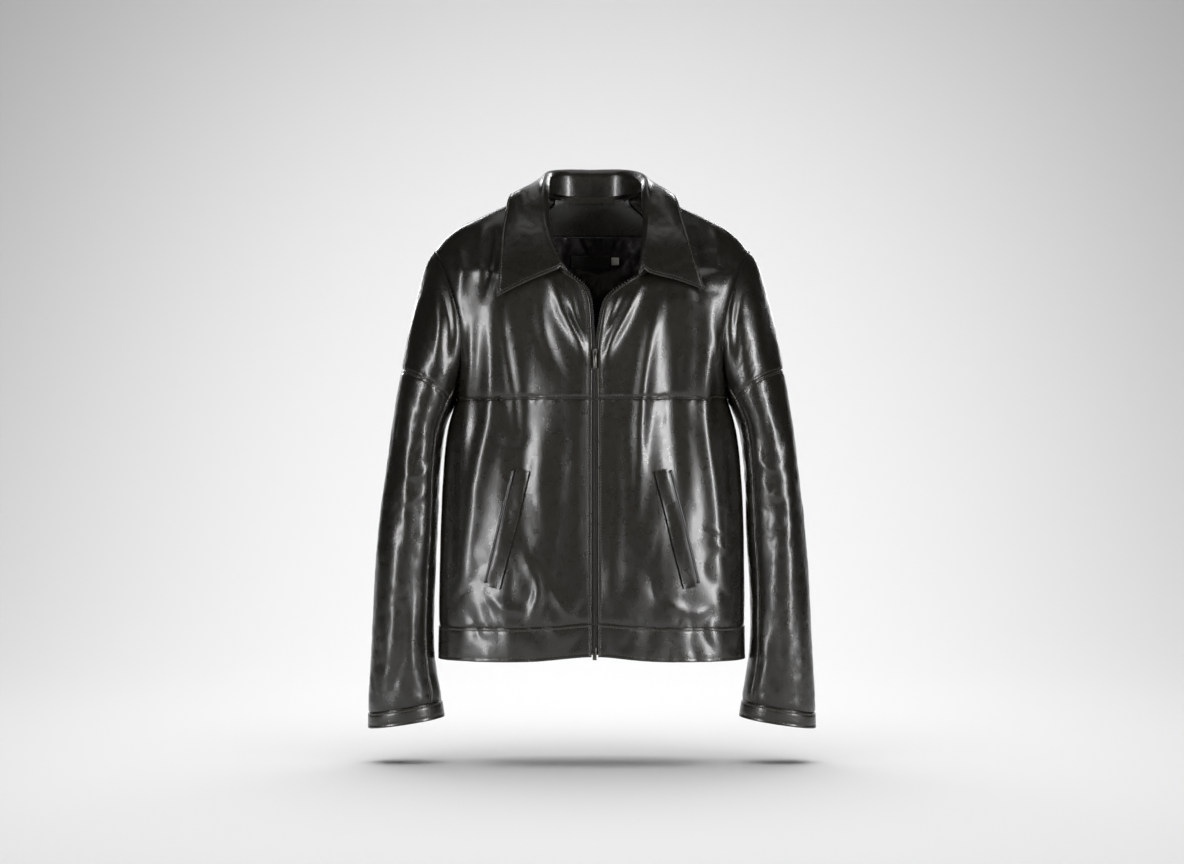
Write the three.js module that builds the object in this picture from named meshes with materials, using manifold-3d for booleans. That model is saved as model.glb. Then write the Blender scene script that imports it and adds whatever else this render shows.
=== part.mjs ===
// A waist-length zipped leather jacket, hanging at rest from its shoulders.
// Millimetres, +Z up. The front faces -Y and the wearer's left side is on +X.
// The origin is the middle of the neck opening, level with the high points of the shoulders.

import * as THREE from "three";
import { mergeVertices } from "three/addons/utils/BufferGeometryUtils.js";
import Module from "manifold-3d";

const wasm = await Module();
wasm.setup();

// Driving dimensions
const HALF_SHOULDER = 219; // middle of the back to the shoulder point
const SHOULDER_DROP = 91;
const HALF_NECK = 70;
const BACK_LENGTH = 659; // shoulder high point to hem
const BAND_HEIGHT = 46;
const HEM_LIFT = 8; // the hem rises this much at the zip
const HEM_LIFT_SPREAD = 4000;
const CHEST_SEAM = 297; // the depth of the seam under both yokes, level with the armpits
const FRONT_DEPTH = 84;
const BACK_DEPTH = 78;
const ZIP_X = 4; // the zip hangs a little off the middle
const SLIDER_DEPTH = 234; // where the zip is closed up to
const TUBBINESS = 2.5; // exponent of the body's rounded cross-section

const LEATHER = 1.8;
const BAND = 2.8; // the folded leather of the waistband and cuffs
const CLOTH = 0.8;
const SEAM_GAP = 0.8;
const SLEEVE_GAP = 1.4;
const HALF_SLOT = 4.5; // half the width between the two front edges
const TAPE_INSET = 3.4;
const FACING_INSET = 5.4;
const BAG_INSET = 2.6;
const BAG_DEPTH = 12;
const LINING_INSET = 8.5;
const CHAIN_GAP = 0.5; // from the middle of the zip to the tip of a tooth
const TOOTH_PITCH = 8; // drawn coarse: the real teeth are a quarter of this apart

const HEM_Z = -BACK_LENGTH;
const BAND_Z = HEM_Z + BAND_HEIGHT;
const YOKE_Z = -CHEST_SEAM;
const V = (x, y, z) => new THREE.Vector3(x, y, z);
const mix = THREE.MathUtils.lerp;
const steps = (a, b, n) => Array.from({ length: n + 1 }, (_, i) => mix(a, b, i / n));

// A smooth function through [place, size] stations.
function profile(stations) {
  const slope = (i) => {
    const a = stations[Math.max(i - 1, 0)];
    const b = stations[Math.min(i + 1, stations.length - 1)];
    return (b[1] - a[1]) / (b[0] - a[0]);
  };
  return (place) => {
    let i = 1;
    while (i < stations.length - 1 && place > stations[i][0]) i += 1;
    const [x0, y0] = stations[i - 1];
    const [x1, y1] = stations[i];
    const w = x1 - x0;
    const t = THREE.MathUtils.clamp((place - x0) / w, 0, 1);
    const keep = (1 + 2 * t) * (1 - t) ** 2;
    return (
      keep * y0 + (1 - keep) * y1 + t * (1 - t) * ((1 - t) * slope(i - 1) - t * slope(i)) * w
    );
  };
}

const spline = (points) => new THREE.CatmullRomCurve3(points, false, "centripetal");

// Body: half its width at each height.
const halfWidth = profile([
  [HEM_Z, 214],
  [-565, 213],
  [-482, 212],
  [-412, 209],
  [-345, 202],
  [YOKE_Z, 188],
]);

// How far a rounded cross-section stands out, at share s from its middle (0) to its side (1).
const roundness = (s) => (1 - Math.min(Math.abs(s), 1) ** TUBBINESS) ** (1 / TUBBINESS);

// Armhole: a loop between the shoulder point and the armpit.
const SHOULDER = V(HALF_SHOULDER, 0, -SHOULDER_DROP);
const ARMPIT = V(188, 0, YOKE_Z);
const ARMHOLE_DEPTH = 62;
const ARMHOLE_BOW = 20;
const ARMHOLE_POINT = 1.6; // 1 is an ellipse, and more draws its two ends out to points

function loop(outer, inner, depth, bow, point, turn) {
  const p = outer.clone().add(inner).multiplyScalar(0.5);
  const s = Math.sin(turn);
  p.addScaledVector(outer.clone().sub(inner), Math.cos(turn) / 2);
  p.x -= bow * s ** 2;
  p.y -= depth * Math.sign(s) * Math.abs(s) ** point;
  return p;
}

// The front half of the armhole at a height.
function armholeAt(side, z) {
  const turn = Math.acos(THREE.MathUtils.mapLinear(z, YOKE_Z, -SHOULDER_DROP, -1, 1));
  const p = loop(SHOULDER, ARMPIT, ARMHOLE_DEPTH, ARMHOLE_BOW, ARMHOLE_POINT, turn);
  return V(side * p.x, p.y, z);
}

const shoulderX = profile([
  [-SHOULDER_DROP, HALF_SHOULDER],
  [-71, 203],
  [-54, 180],
  [-31, 131],
  [0, HALF_NECK],
]);
const shoulderAt = (side, z) => V(side * shoulderX(z), 0, z);

// The free edge of each front from the chest seam up: straight to the slider, out to the foot
// of the collar, and on up the neck seam under the leaf. The right one hangs straighter.
const FRONT_EDGES = {
  "-1": [V(3, -82, -198), V(1, -79, -168), V(-4, -77, -149), V(-14, -75, -136)],
  1: [V(8, -82, -196), V(15, -79, -164), V(26, -76, -150), V(42, -73, -139)],
};
const FEET = { "-1": V(-36, -71, -121), 1: V(63, -66, -126) };
const FRONT_NECKS = {
  "-1": [V(-50, -64, -111), V(-66, -49, -84), V(-73, -27, -42), V(-71.5, -9, -11)],
  1: [V(76, -58, -118), V(82, -46, -90), V(80, -26, -45), V(75, -9, -12)],
};
const SLIDER_TOP = V(ZIP_X, -FRONT_DEPTH, -SLIDER_DEPTH + 6);
const NECK_POINTS = { "-1": V(-HALF_NECK, 0, 0), 1: V(HALF_NECK, 0, 0) };

function frontEdge(side) {
  const chest = V(ZIP_X, -FRONT_DEPTH, YOKE_Z);
  const open = [...FRONT_EDGES[side], FEET[side], ...FRONT_NECKS[side], NECK_POINTS[side]];
  const points = [chest, SLIDER_TOP, ...open];
  const x = profile(points.map((p) => [p.z, p.x]));
  const y = profile(points.map((p) => [p.z, p.y]));
  return (z) => V(x(z), y(z), z);
}

const frontNeck = (side) => spline([FEET[side], ...FRONT_NECKS[side], NECK_POINTS[side]]);

// The middle of the back, and then the back of the neck up to its point.
const BACK_NECK = [V(0, 60, -14), V(35, 54, -12), V(60, 32, -7), V(HALF_NECK, 0, 0)];
const backNeck = (side) => spline(BACK_NECK.map((p) => V(side * p.x, p.y, p.z)));

function backEdge(side) {
  const points = [V(0, BACK_DEPTH, YOKE_Z), V(0, 82, -180), V(0, 72, -70), ...BACK_NECK];
  const x = profile(points.map((p) => [p.z, p.x]));
  const y = profile(points.map((p) => [p.z, p.y]));
  return (z) => V(side * Math.max(x(z), 0), y(z), z);
}

// One edge curve followed by another, meeting at share s.
const joined = (a, b, s) => (t) => (t < s ? a.getPoint(t / s) : b.getPoint((t - s) / (1 - s)));

// A surface is a function of two numbers, and the sense that turns its normal outwards.
// The body's are a share u of the way from its middle (0) to its side (1), and a height.
function bodyHalf(side, facing) {
  const edge = facing < 0 ? frontEdge(side) : backEdge(side);
  const waist = facing < 0 ? V(ZIP_X, -FRONT_DEPTH, 0) : V(0, BACK_DEPTH, 0);
  const at = (u, height) => {
    const z = Math.min(height, -1);
    const middle = z < YOKE_Z ? waist : edge(z);
    let rim = V(side * halfWidth(z), 0, z);
    if (z > YOKE_Z) rim = z < -SHOULDER_DROP ? armholeAt(side, z) : shoulderAt(side, z);
    const fall = THREE.MathUtils.smoothstep(-z, -YOKE_Z, BACK_LENGTH) ** 3;
    const lift = facing < 0 ? HEM_LIFT * fall : 0;
    return V(
      mix(middle.x, rim.x, u),
      mix(-facing * rim.y, middle.y, roundness(u)),
      z + lift * Math.exp(-((u * HALF_SHOULDER) ** 2) / HEM_LIFT_SPREAD),
    );
  };
  return { at, sense: -facing * side };
}

// A surface moved inwards along its normal.
function inset({ at, sense }, distance, bulge = () => 0) {
  const [du, dv] = [0.002, 0.5];
  const moved = (u, v) => {
    const along = at(u + du, v).sub(at(u - du, v));
    const up = at(u, v + dv).sub(at(u, v - dv));
    const depth = distance + bulge(u, v);
    return at(u, v).addScaledVector(along.cross(up).normalize(), -depth * sense);
  };
  return { at: moved, sense };
}

const FRONTS = { "-1": bodyHalf(-1, -1), 1: bodyHalf(1, -1) };
const BACKS = { "-1": bodyHalf(-1, 1), 1: bodyHalf(1, 1) };
const BACK = { at: (u, z) => BACKS[u < 0 ? -1 : 1].at(Math.abs(u), z), sense: -1 };

const SLEEVE_SEAM_V = 0.262; // share of the sleeve above the seam across it

// Sleeve: outer edge, inner edge, half depth and bow at each share of its length.
const SLEEVE = [
  [0, [219, -91], [188, -297], 62, 20],
  [0.06, [234, -122], [188.5, -299.5], 66, 17],
  [0.14, [248, -172], [190, -303], 68, 12],
  [0.26, [266, -255], [195, -312], 66, 6],
  [0.38, [279, -335], [206, -345], 62, 2],
  [0.5, [288, -410], [212.5, -412], 58, 0],
  [0.62, [296, -485], [215.5, -482], 54, 0],
  [0.74, [303, -575], [219.5, -565], 49, 0],
  [0.86, [308, -660], [219, -650], 45, 0],
  [0.965, [311, -735], [208.5, -718], 41, 0],
  [1, [311.5, -757], [205, -741], 40, 0],
];
const station = (pick) => profile(SLEEVE.map((row) => [row[0], pick(row)]));
const sleeveAt = {
  outerX: station((r) => r[1][0]),
  outerZ: station((r) => r[1][1]),
  innerX: station((r) => r[2][0]),
  innerZ: station((r) => r[2][1]),
  depth: station((r) => r[3]),
  bow: station((r) => r[4]),
};

// u is the turn in half turns: 0 on the outer edge, 0.5 at the front, 1 on the inner edge.
// v runs down the sleeve.
function sleeve(side) {
  const at = (u, v) => {
    const outer = V(sleeveAt.outerX(v), 0, sleeveAt.outerZ(v));
    const inner = V(sleeveAt.innerX(v), 0, sleeveAt.innerZ(v));
    const point = mix(ARMHOLE_POINT, 1, Math.min(1, v / SLEEVE_SEAM_V));
    const p = loop(outer, inner, sleeveAt.depth(v), sleeveAt.bow(v), point, u * Math.PI);
    p.x = side * (p.x + SLEEVE_GAP);
    return p;
  };
  return { at, sense: side };
}

// Collar: from the neck seam up to the fold and down to the leaf's edge, each from the
// middle of the back (0) to the front end (1).
const SKIN = 0.3; // least gap between the two collars
const ROLL = 7.6; // radius of the fold
const LEAF_DROP = 0.6; // of that radius: how far the leaf falls in leaving the fold
const CROWN = 1.5; // how far each leaf swells between its fold and its edge
const BACK_SHARE = 0.42; // of half the neck seam lies on the back
const COLLAR_START = 0.08; // the leather begins this share above the neck seam
const UNDER_COLLAR = { gap: 0.9, thickness: 1 };

// The front half of the fold, and of the leaf's edge, on each side.
const FOLD_FRONTS = {
  "-1": [V(-66, 10, 16), V(-67, -22, -4), V(-65, -43, -42), V(-57, -64, -78), V(-41, -82, -115)],
  1: [V(75, 10, 16), V(76, -22, -5), V(77, -45, -48), V(74, -66, -84), V(71, -80, -119)],
};
const EDGE_FRONTS = {
  "-1": [V(-116, -6, -12), V(-124, -48, -62), V(-127, -78, -114), V(-131, -90, -158)],
  1: [V(118, -6, -14), V(129, -48, -59), V(142, -74, -106), V(156, -84, -149)],
};

function collarLines(side) {
  const front = frontNeck(side);
  const seam = joined(backNeck(side), { getPoint: (t) => front.getPoint(1 - t) }, BACK_SHARE);
  const foldBack = [V(0, 64, 31), V(side * 38, 60, 31), V(side * 60, 42, 27)];
  const fold = spline([...foldBack, ...FOLD_FRONTS[side]]);
  const edge = spline([
    V(0, 98, -44),
    V(side * 66, 88, -44),
    V(side * 112, 50, -26),
    ...EDGE_FRONTS[side],
  ]);
  return { seam, fold: (t) => fold.getPoint(t), edge: (t) => edge.getPoint(t) };
}

const COLLAR_LINES = { "-1": collarLines(-1), 1: collarLines(1) };

// u from the right front end (-1) round the back to the left one (1), w from the neck seam
// over the fold to the leaf's edge.
const COLLAR = {
  at: (u, w) => {
    const lines = COLLAR_LINES[u < 0 ? -1 : 1];
    const t = Math.abs(u);
    const [seam, fold, edge] = [lines.seam(t), lines.fold(t), lines.edge(t)];
    const away = edge.clone().sub(seam).setZ(0).normalize();
    const into = fold.clone().addScaledVector(away, -ROLL).add(V(0, 0, -ROLL));
    const over = fold.clone().addScaledVector(away, ROLL).add(V(0, 0, -ROLL * LEAF_DROP));
    const crown = over.clone().lerp(edge, 0.5).addScaledVector(away, CROWN).add(V(0, 0, CROWN));
    return spline([seam, into, fold, over, crown, edge]).getPoint(w);
  },
  sense: 1,
};

// Solids

// A closed shell of the given thickness, from a start depth under a surface, over lists of its
// u and v. A round one closes on itself in u.
function shell({ at: surface, sense }, us, vs, thickness, { round = false, start = 0 } = {}) {
  const nu = round ? us.length - 1 : us.length;
  const last = vs.length - 1;
  const grid = vs.flatMap((v) => us.slice(0, nu).map((u) => surface(u, v)));
  const at = (i, j) => {
    const column = round ? (i + nu) % nu : THREE.MathUtils.clamp(i, 0, nu - 1);
    return grid[THREE.MathUtils.clamp(j, 0, last) * nu + column];
  };
  const inwards = grid.map((_, k) => {
    const [i, j] = [k % nu, Math.floor(k / nu)];
    const along = at(i + 1, j).clone().sub(at(i - 1, j));
    const up = at(i, j + 1).clone().sub(at(i, j - 1));
    return along.cross(up).normalize().multiplyScalar(-sense);
  });
  const layer = (depth) => grid.map((p, k) => p.clone().addScaledVector(inwards[k], depth));
  const faces = [];
  const id = (i, j) => j * nu + (i % nu);
  const below = (i, j) => grid.length + id(i, j);
  const quad = (a, b, c, d) => faces.push(a, b, c, a, c, d);
  for (let i = 0; i < (round ? nu : nu - 1); i += 1) {
    for (let j = 0; j < last; j += 1) {
      quad(id(i, j), id(i + 1, j), id(i + 1, j + 1), id(i, j + 1));
      quad(below(i, j), below(i, j + 1), below(i + 1, j + 1), below(i + 1, j));
    }
    quad(below(i, 0), below(i + 1, 0), id(i + 1, 0), id(i, 0));
    quad(id(i, last), id(i + 1, last), below(i + 1, last), below(i, last));
  }
  for (let j = 0; j < last && !round; j += 1) {
    quad(id(0, j), id(0, j + 1), below(0, j + 1), below(0, j));
    quad(below(nu - 1, j), below(nu - 1, j + 1), id(nu - 1, j + 1), id(nu - 1, j));
  }
  const geometry = new THREE.BufferGeometry();
  const points = [...layer(start), ...layer(start + thickness)];
  const positions = points.flatMap((p) => [p.x, p.y, p.z]);
  geometry.setAttribute("position", new THREE.Float32BufferAttribute(positions, 3));
  geometry.setIndex(faces);
  return facingOut(geometry);
}

// Turns every face round if the solid came out inside out.
function facingOut(geometry) {
  const p = geometry.getAttribute("position");
  const ids = geometry.getIndex().array;
  const [a, b, c] = [V(), V(), V()];
  let volume = 0;
  for (let i = 0; i < ids.length; i += 3) {
    a.fromBufferAttribute(p, ids[i]);
    b.fromBufferAttribute(p, ids[i + 1]);
    c.fromBufferAttribute(p, ids[i + 2]);
    volume += a.dot(b.cross(c));
  }
  if (volume < 0) {
    for (let i = 0; i < ids.length; i += 3) [ids[i + 1], ids[i + 2]] = [ids[i + 2], ids[i + 1]];
  }
  return geometry;
}

function toSolid(geometry) {
  const bare = new THREE.BufferGeometry();
  bare.setAttribute("position", geometry.getAttribute("position").clone());
  if (geometry.getIndex()) bare.setIndex(geometry.getIndex());
  const merged = mergeVertices(bare, 1e-4);
  return new wasm.Manifold(
    new wasm.Mesh({
      numProp: 3,
      vertProperties: merged.getAttribute("position").array,
      triVerts: new Uint32Array(merged.getIndex().array),
    }),
  );
}

function toGeometry(solid) {
  const mesh = solid.getMesh();
  const positions = new Float32Array(mesh.numVert * 3);
  for (let i = 0; i < mesh.numVert; i += 1) {
    positions.set(mesh.vertProperties.subarray(i * mesh.numProp, i * mesh.numProp + 3), i * 3);
  }
  const geometry = new THREE.BufferGeometry();
  geometry.setAttribute("position", new THREE.BufferAttribute(positions, 3));
  geometry.setIndex(new THREE.BufferAttribute(mesh.triVerts, 1));
  return geometry;
}

function box(width, depth, height, x, y, z) {
  return new THREE.BoxGeometry(width, depth, height).translate(x, y, z);
}

const union = (geometries) =>
  toGeometry(geometries.map(toSolid).reduce((whole, piece) => whole.add(piece)));

// Materials

const finish = (color, roughness, metalness = 0) =>
  new THREE.MeshStandardMaterial({ color, roughness, metalness });
const leather = finish(0x2a2925, 0.32);
const satin = finish(0x17141a, 0.5);
const tape = finish(0x121212, 0.85);
const nylon = finish(0x15140f, 0.45);
const metal = finish(0x8f8f8a, 0.25, 1);
const woven = finish(0x0c0c0c, 0.7);
const paper = finish(0xe8e6e0, 0.8);

const jacket = new THREE.Group();

function piece(name, geometry, material, parent = jacket) {
  const mesh = new THREE.Mesh(geometry, material);
  mesh.name = name;
  parent.add(mesh);
  return mesh;
}

const NAMES = { "-1": "right", 1: "left" };

// Body panels: lists of heights, and of shares from the middle to the side.
const EDGE = HALF_SLOT / HALF_SHOULDER;
const V_ROWS = [-270, -245, -225, -205, -185, -167, -152, -141, -130, -120, -108, -90];
const yokeRows = [YOKE_Z + SEAM_GAP / 2, -288, ...V_ROWS, -75, -60, -45, -30, -16, -6];
const panelRows = steps(BAND_Z + SEAM_GAP / 2, YOKE_Z - SEAM_GAP / 2, 6);
const bandRows = [HEM_Z, BAND_Z - SEAM_GAP / 2];
const towardsSide = [0.34, 0.47, 0.6, 0.71, 0.81, 0.89, 0.95, 0.985, 1];
const across = [EDGE, 0.12, 0.22, ...towardsSide];
const backAcross = [...[...across].reverse().map((u) => -u), 0, ...across];

// Keeps the part of a panel that lies in front (-1) or behind (1) the side and shoulder seams.
function trimmed(geometry, facing) {
  const [width, depth, height] = [800, 400, 1000];
  const y = (facing * (depth + SEAM_GAP)) / 2;
  const half = box(width, depth, height, 0, y, -height / 2 + 100);
  return toGeometry(toSolid(geometry).intersect(toSolid(half)));
}

function frontPanels(side) {
  const half = FRONTS[side];
  const name = NAMES[side];
  piece(`${name}_front_yoke`, trimmed(shell(half, across, yokeRows, LEATHER), -1), leather);
  const panel = shell(half, across, panelRows, LEATHER);
  piece(`${name}_front_panel`, trimmed(cutMouth(panel, side), -1), leather);
  piece(`${name}_waistband`, trimmed(shell(half, across, bandRows, BAND), -1), leather);
}

// The back yoke's top follows the back of the neck from its middle out to its points.
const BACK_NECK_TOP = { middle: -14, point: -2, reach: 0.14 };

function backYokeAt(u, share) {
  const rise = THREE.MathUtils.smoothstep(Math.abs(u), 0, BACK_NECK_TOP.reach);
  const top = mix(BACK_NECK_TOP.middle, BACK_NECK_TOP.point, rise);
  return BACK.at(u, mix(YOKE_Z + SEAM_GAP / 2, top, share));
}

function backPanels() {
  const columns = backAcross.filter((u) => Math.abs(u) !== EDGE);
  const near = [-0.08, -0.05, -0.02, 0.02, 0.05, 0.08];
  const yokeColumns = [...columns, ...near].sort((a, b) => a - b);
  const shares = [...steps(0, 0.9, 9), 0.95, 0.98, 1];
  const yoke = shell({ at: backYokeAt, sense: BACK.sense }, yokeColumns, shares, LEATHER);
  piece("back_yoke", trimmed(yoke, 1), leather);
  piece("back_panel", trimmed(shell(BACK, columns, panelRows, LEATHER), 1), leather);
  piece("back_waistband", trimmed(shell(BACK, columns, bandRows, BAND), 1), leather);
}

// Pocket: a welt along the inner side of a slanting mouth, and a bag of two layers behind it.
const WELT = { top: [94, -395], bottom: [134, -557], width: 17, thickness: 1.4, gap: 0.6 };
const WELT_LEAN = 0.25; // how far its ends slope
const MOUTH = { width: 7, length: 150, depth: 16, inset: 3 };

function onFront(side, x, z, lift) {
  return V(side * x, -FRONT_DEPTH * roundness(x / halfWidth(z)) - lift, z);
}

function alongWelt(side, t, offset, lift) {
  const x = mix(WELT.top[0], WELT.bottom[0], t) + offset;
  const z = mix(WELT.top[1], WELT.bottom[1], t) + offset * WELT_LEAN;
  return onFront(side, x, z, lift);
}

function mouthCutter(side) {
  const [x0, z0] = WELT.top;
  const [x1, z1] = WELT.bottom;
  const middle = alongWelt(side, 0.5, WELT.width / 2 + MOUTH.width / 2 - MOUTH.inset, 0);
  const tilt = side * -Math.atan2(x1 - x0, z0 - z1);
  const cutter = new THREE.BoxGeometry(MOUTH.width, MOUTH.depth, MOUTH.length);
  return toSolid(cutter.rotateY(tilt).translate(middle.x, middle.y, middle.z));
}

const cutMouth = (panel, side) => toGeometry(toSolid(panel).subtract(mouthCutter(side)));

const BAG = { inner: 0.3, outer: 0.8, bottom: -604, top: -384, sewn: 0.4, slope: 30 };

// How full the bag is, from its sewn rim (0) to its middle (1).
function fullness(u, z) {
  const rise = THREE.MathUtils.smoothstep;
  const width = Math.min(u - BAG.inner, BAG.outer - u);
  const height = Math.min(z - BAG.bottom, BAG.top - z);
  return rise(width, 0, 0.1) * rise(height, 0, BAG.slope);
}

function pocket(side) {
  const name = NAMES[side];
  const half = WELT.width / 2;
  const at = (u, v) => alongWelt(side, v, mix(-half, half, u), WELT.gap + LEATHER);
  const welt = shell({ at, sense: -side }, steps(0, 1, 2), steps(0, 1, 6), WELT.thickness);
  piece(`${name}_pocket_welt`, welt, leather);
  const columns = steps(BAG.inner, BAG.outer, 10);
  const low = steps(BAG.bottom, BAG.bottom + BAG.slope, 2);
  const rows = [...low, -505, ...steps(BAG.top - BAG.slope, BAG.top, 2)];
  const front = shell(inset(FRONTS[side], BAG_INSET), columns, rows, CLOTH);
  piece(`${name}_pocket_bag_front`, cutMouth(front, side), satin);
  const room = BAG_DEPTH - 2 * CLOTH - BAG.sewn;
  const behind = inset(FRONTS[side], BAG_INSET + CLOTH + BAG.sewn, (u, z) => room * fullness(u, z));
  piece(`${name}_pocket_bag_back`, shell(behind, columns, rows, CLOTH), satin);
}

// Inside: leather facings by the zip and round the neck, and the lining between them.
const FACING = { near: 0.05, far: 0.22, thickness: 1.2 };
const LINING_CLEAR = 1.4; // from the pocket bag to the lining
const LINING_EDGE = 0.92; // share of the back's half width
const POCKET_ROOM = BAG_INSET + BAG_DEPTH + LINING_CLEAR - LINING_INSET;
const insideRows = [HEM_Z + 12, ...steps(-600, -310, 4)];

// The front lining hangs clear of the pocket bag.
function behindPocket(u, z) {
  const near = THREE.MathUtils.smoothstep(u, FACING.far, BAG.inner);
  const beyond = 1 - THREE.MathUtils.smoothstep(u, BAG.outer, BAG.outer + 0.1);
  const above = 1 - THREE.MathUtils.smoothstep(z, BAG.top, BAG.top + 50);
  return POCKET_ROOM * near * beyond * above;
}

function inside(side) {
  const half = FRONTS[side];
  const name = NAMES[side];
  const columns = steps(FACING.near, FACING.far, 2);
  const rows = [...insideRows, ...V_ROWS];
  const facing = shell(inset(half, FACING_INSET), columns, rows, FACING.thickness);
  piece(`${name}_front_facing`, facing, leather);
  const wide = [FACING.far + 0.01, BAG.inner - 0.01, ...steps(0.34, 0.8, 4), 0.87, 0.93];
  const lining = shell(inset(half, LINING_INSET, behindPocket), wide, rows, CLOTH);
  piece(`${name}_front_lining`, lining, satin);
}

const NECK_FACING = { bottom: -62, top: -21, half: 0.4, inset: 4.6 };

function insideBack() {
  const rows = [...insideRows, ...steps(-280, NECK_FACING.bottom - 3, 6)];
  const columns = steps(-LINING_EDGE, LINING_EDGE, 14);
  piece("back_lining", shell(inset(BACK, LINING_INSET), columns, rows, CLOTH), satin);
  const facingRows = steps(NECK_FACING.bottom, NECK_FACING.top, 3);
  const middle = steps(-NECK_FACING.half, NECK_FACING.half, 8);
  const facing = shell(inset(BACK, NECK_FACING.inset), middle, facingRows, FACING.thickness);
  piece("back_neck_facing", facing, leather);
}

// Sleeves: cap and outer sleeve from the back seam round the outer edge to the front seam,
// under sleeve between them, and a cuff all round.
const CUFF_V = 0.966;
const FRONT_SEAM = 0.785;
const BACK_SEAM = -0.72;
const TURN_GAP = 0.006;
const LENGTH_GAP = 0.001;
const LINING_SLACK = 6;

function sleevePieces(side) {
  const name = NAMES[side];
  const surface = sleeve(side);
  const around = steps(BACK_SEAM + TURN_GAP, FRONT_SEAM - TURN_GAP, 14);
  const below = steps(FRONT_SEAM + TURN_GAP, 2 + BACK_SEAM - TURN_GAP, 5);
  const seamRow = (u) => SLEEVE_SEAM_V - 0.05 * Math.sin((Math.abs(u) * Math.PI) / 2) ** 2;
  const stretched = (start, end) => ({
    at: (u, v) => surface.at(u, mix(start(u), end(u), v)),
    sense: side,
  });
  const cap = stretched(() => 0, (u) => seamRow(u) - LENGTH_GAP);
  piece(`${name}_sleeve_cap`, shell(cap, around, steps(0, 1, 5), LEATHER), leather);
  const outer = stretched(seamRow, () => CUFF_V - LENGTH_GAP);
  piece(`${name}_outer_sleeve`, shell(outer, around, steps(0, 1, 7), LEATHER), leather);
  const rows = steps(0, CUFF_V - LENGTH_GAP, 11);
  piece(`${name}_under_sleeve`, shell(surface, below, rows, LEATHER), leather);
  const cuff = shell(surface, steps(-1, 1, 20), [CUFF_V, 1], BAND, { round: true });
  piece(`${name}_cuff`, cuff, leather);
  const at = (u, v) => {
    const p = surface.at(u, v);
    const half = (sleeveAt.outerX(v) - sleeveAt.innerX(v)) / 2;
    const centre = side * ((sleeveAt.outerX(v) + sleeveAt.innerX(v)) / 2 + SLEEVE_GAP);
    const depth = sleeveAt.depth(v);
    p.x = mix(p.x, centre, LINING_SLACK / half);
    p.y *= 1 - LINING_SLACK / depth;
    return p;
  };
  const [round, down] = [steps(-1, 1, 16), steps(0.3, 0.95, 6)];
  const lining = shell({ at, sense: side }, round, down, CLOTH, { round: true });
  piece(`${name}_sleeve_lining`, lining, satin);
}

// Collar: the upper one is a single piece over the fold, and the under one lies inside it.
function collar() {
  const along = [-1, -0.93, ...steps(-0.84, 0.84, 18), 0.93, 1];
  const rows = [COLLAR_START, ...steps(0.16, 0.6, 6), 0.8, 1];
  piece("upper_collar", shell(COLLAR, along, rows, LEATHER), leather);
  const room = toSolid(shell(COLLAR, along, rows, LEATHER + 2 * SKIN, { start: -SKIN }));
  const start = LEATHER + UNDER_COLLAR.gap;
  const under = toSolid(shell(COLLAR, along, rows, UNDER_COLLAR.thickness, { start }));
  piece("under_collar", toGeometry(under.subtract(room)), leather);
}

// Zip
const CHAIN_TOP = -SLIDER_DEPTH - 8;
const CHAIN_BOTTOM = HEM_Z + HEM_LIFT + 18;
const CHAIN = { width: 3.2, bead: 1.1, depth: 1.8, tooth: 3.4 };
const CHAIN_Y = -FRONT_DEPTH + TAPE_INSET - CHAIN.depth / 2 - 0.3;

function zipHalf(side) {
  const name = NAMES[side];
  const rows = [HEM_Z + 3, -480, YOKE_Z, ...V_ROWS.slice(0, -2)];
  const strip = shell(inset(FRONTS[side], TAPE_INSET), [0.02, 0.06], rows, 0.7);
  piece(`${name}_zip_tape`, strip, tape);
  piece(`${name}_zip_chain`, chain(side), nylon);
}

// A comb: a bead along the tape with teeth that reach between those of the other half.
function chain(side) {
  const outline = [[CHAIN.width, CHAIN_BOTTOM]];
  const phase = side > 0 ? 0 : TOOTH_PITCH / 2;
  const root = CHAIN.width - CHAIN.bead;
  outline.push([root, CHAIN_BOTTOM]);
  for (let z = CHAIN_BOTTOM + 1 + phase; z + CHAIN.tooth < CHAIN_TOP; z += TOOTH_PITCH) {
    outline.push([root, z], [CHAIN_GAP, z]);
    outline.push([CHAIN_GAP, z + CHAIN.tooth], [root, z + CHAIN.tooth]);
  }
  outline.push([root, CHAIN_TOP], [CHAIN.width, CHAIN_TOP]);
  const shape = new THREE.Shape(outline.map(([x, z]) => new THREE.Vector2(side * x, z)));
  const geometry = new THREE.ExtrudeGeometry(shape, { depth: CHAIN.depth, bevelEnabled: false });
  geometry.rotateX(Math.PI / 2);
  return geometry.translate(ZIP_X, CHAIN_Y + CHAIN.depth / 2, 0);
}

// Slider: a front and a back plate on a thin web that runs in the gap between the chains,
// and a bridge on the front that holds the pull.
const SLIDER = { width: 6.2, height: 11, front: -86, plate: 2.6 };
const WEB = 0.6;
const BACK_PLATE = { width: 5, depth: 0.9, y: -79.7 };
const BRIDGE = { width: 1.6, reach: 3.9, bar: 1, top: 5.4, bottom: 0.4 };
const AXIS = V(ZIP_X, -87.4, -SLIDER_DEPTH + 3.2); // the pull turns about this

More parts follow.
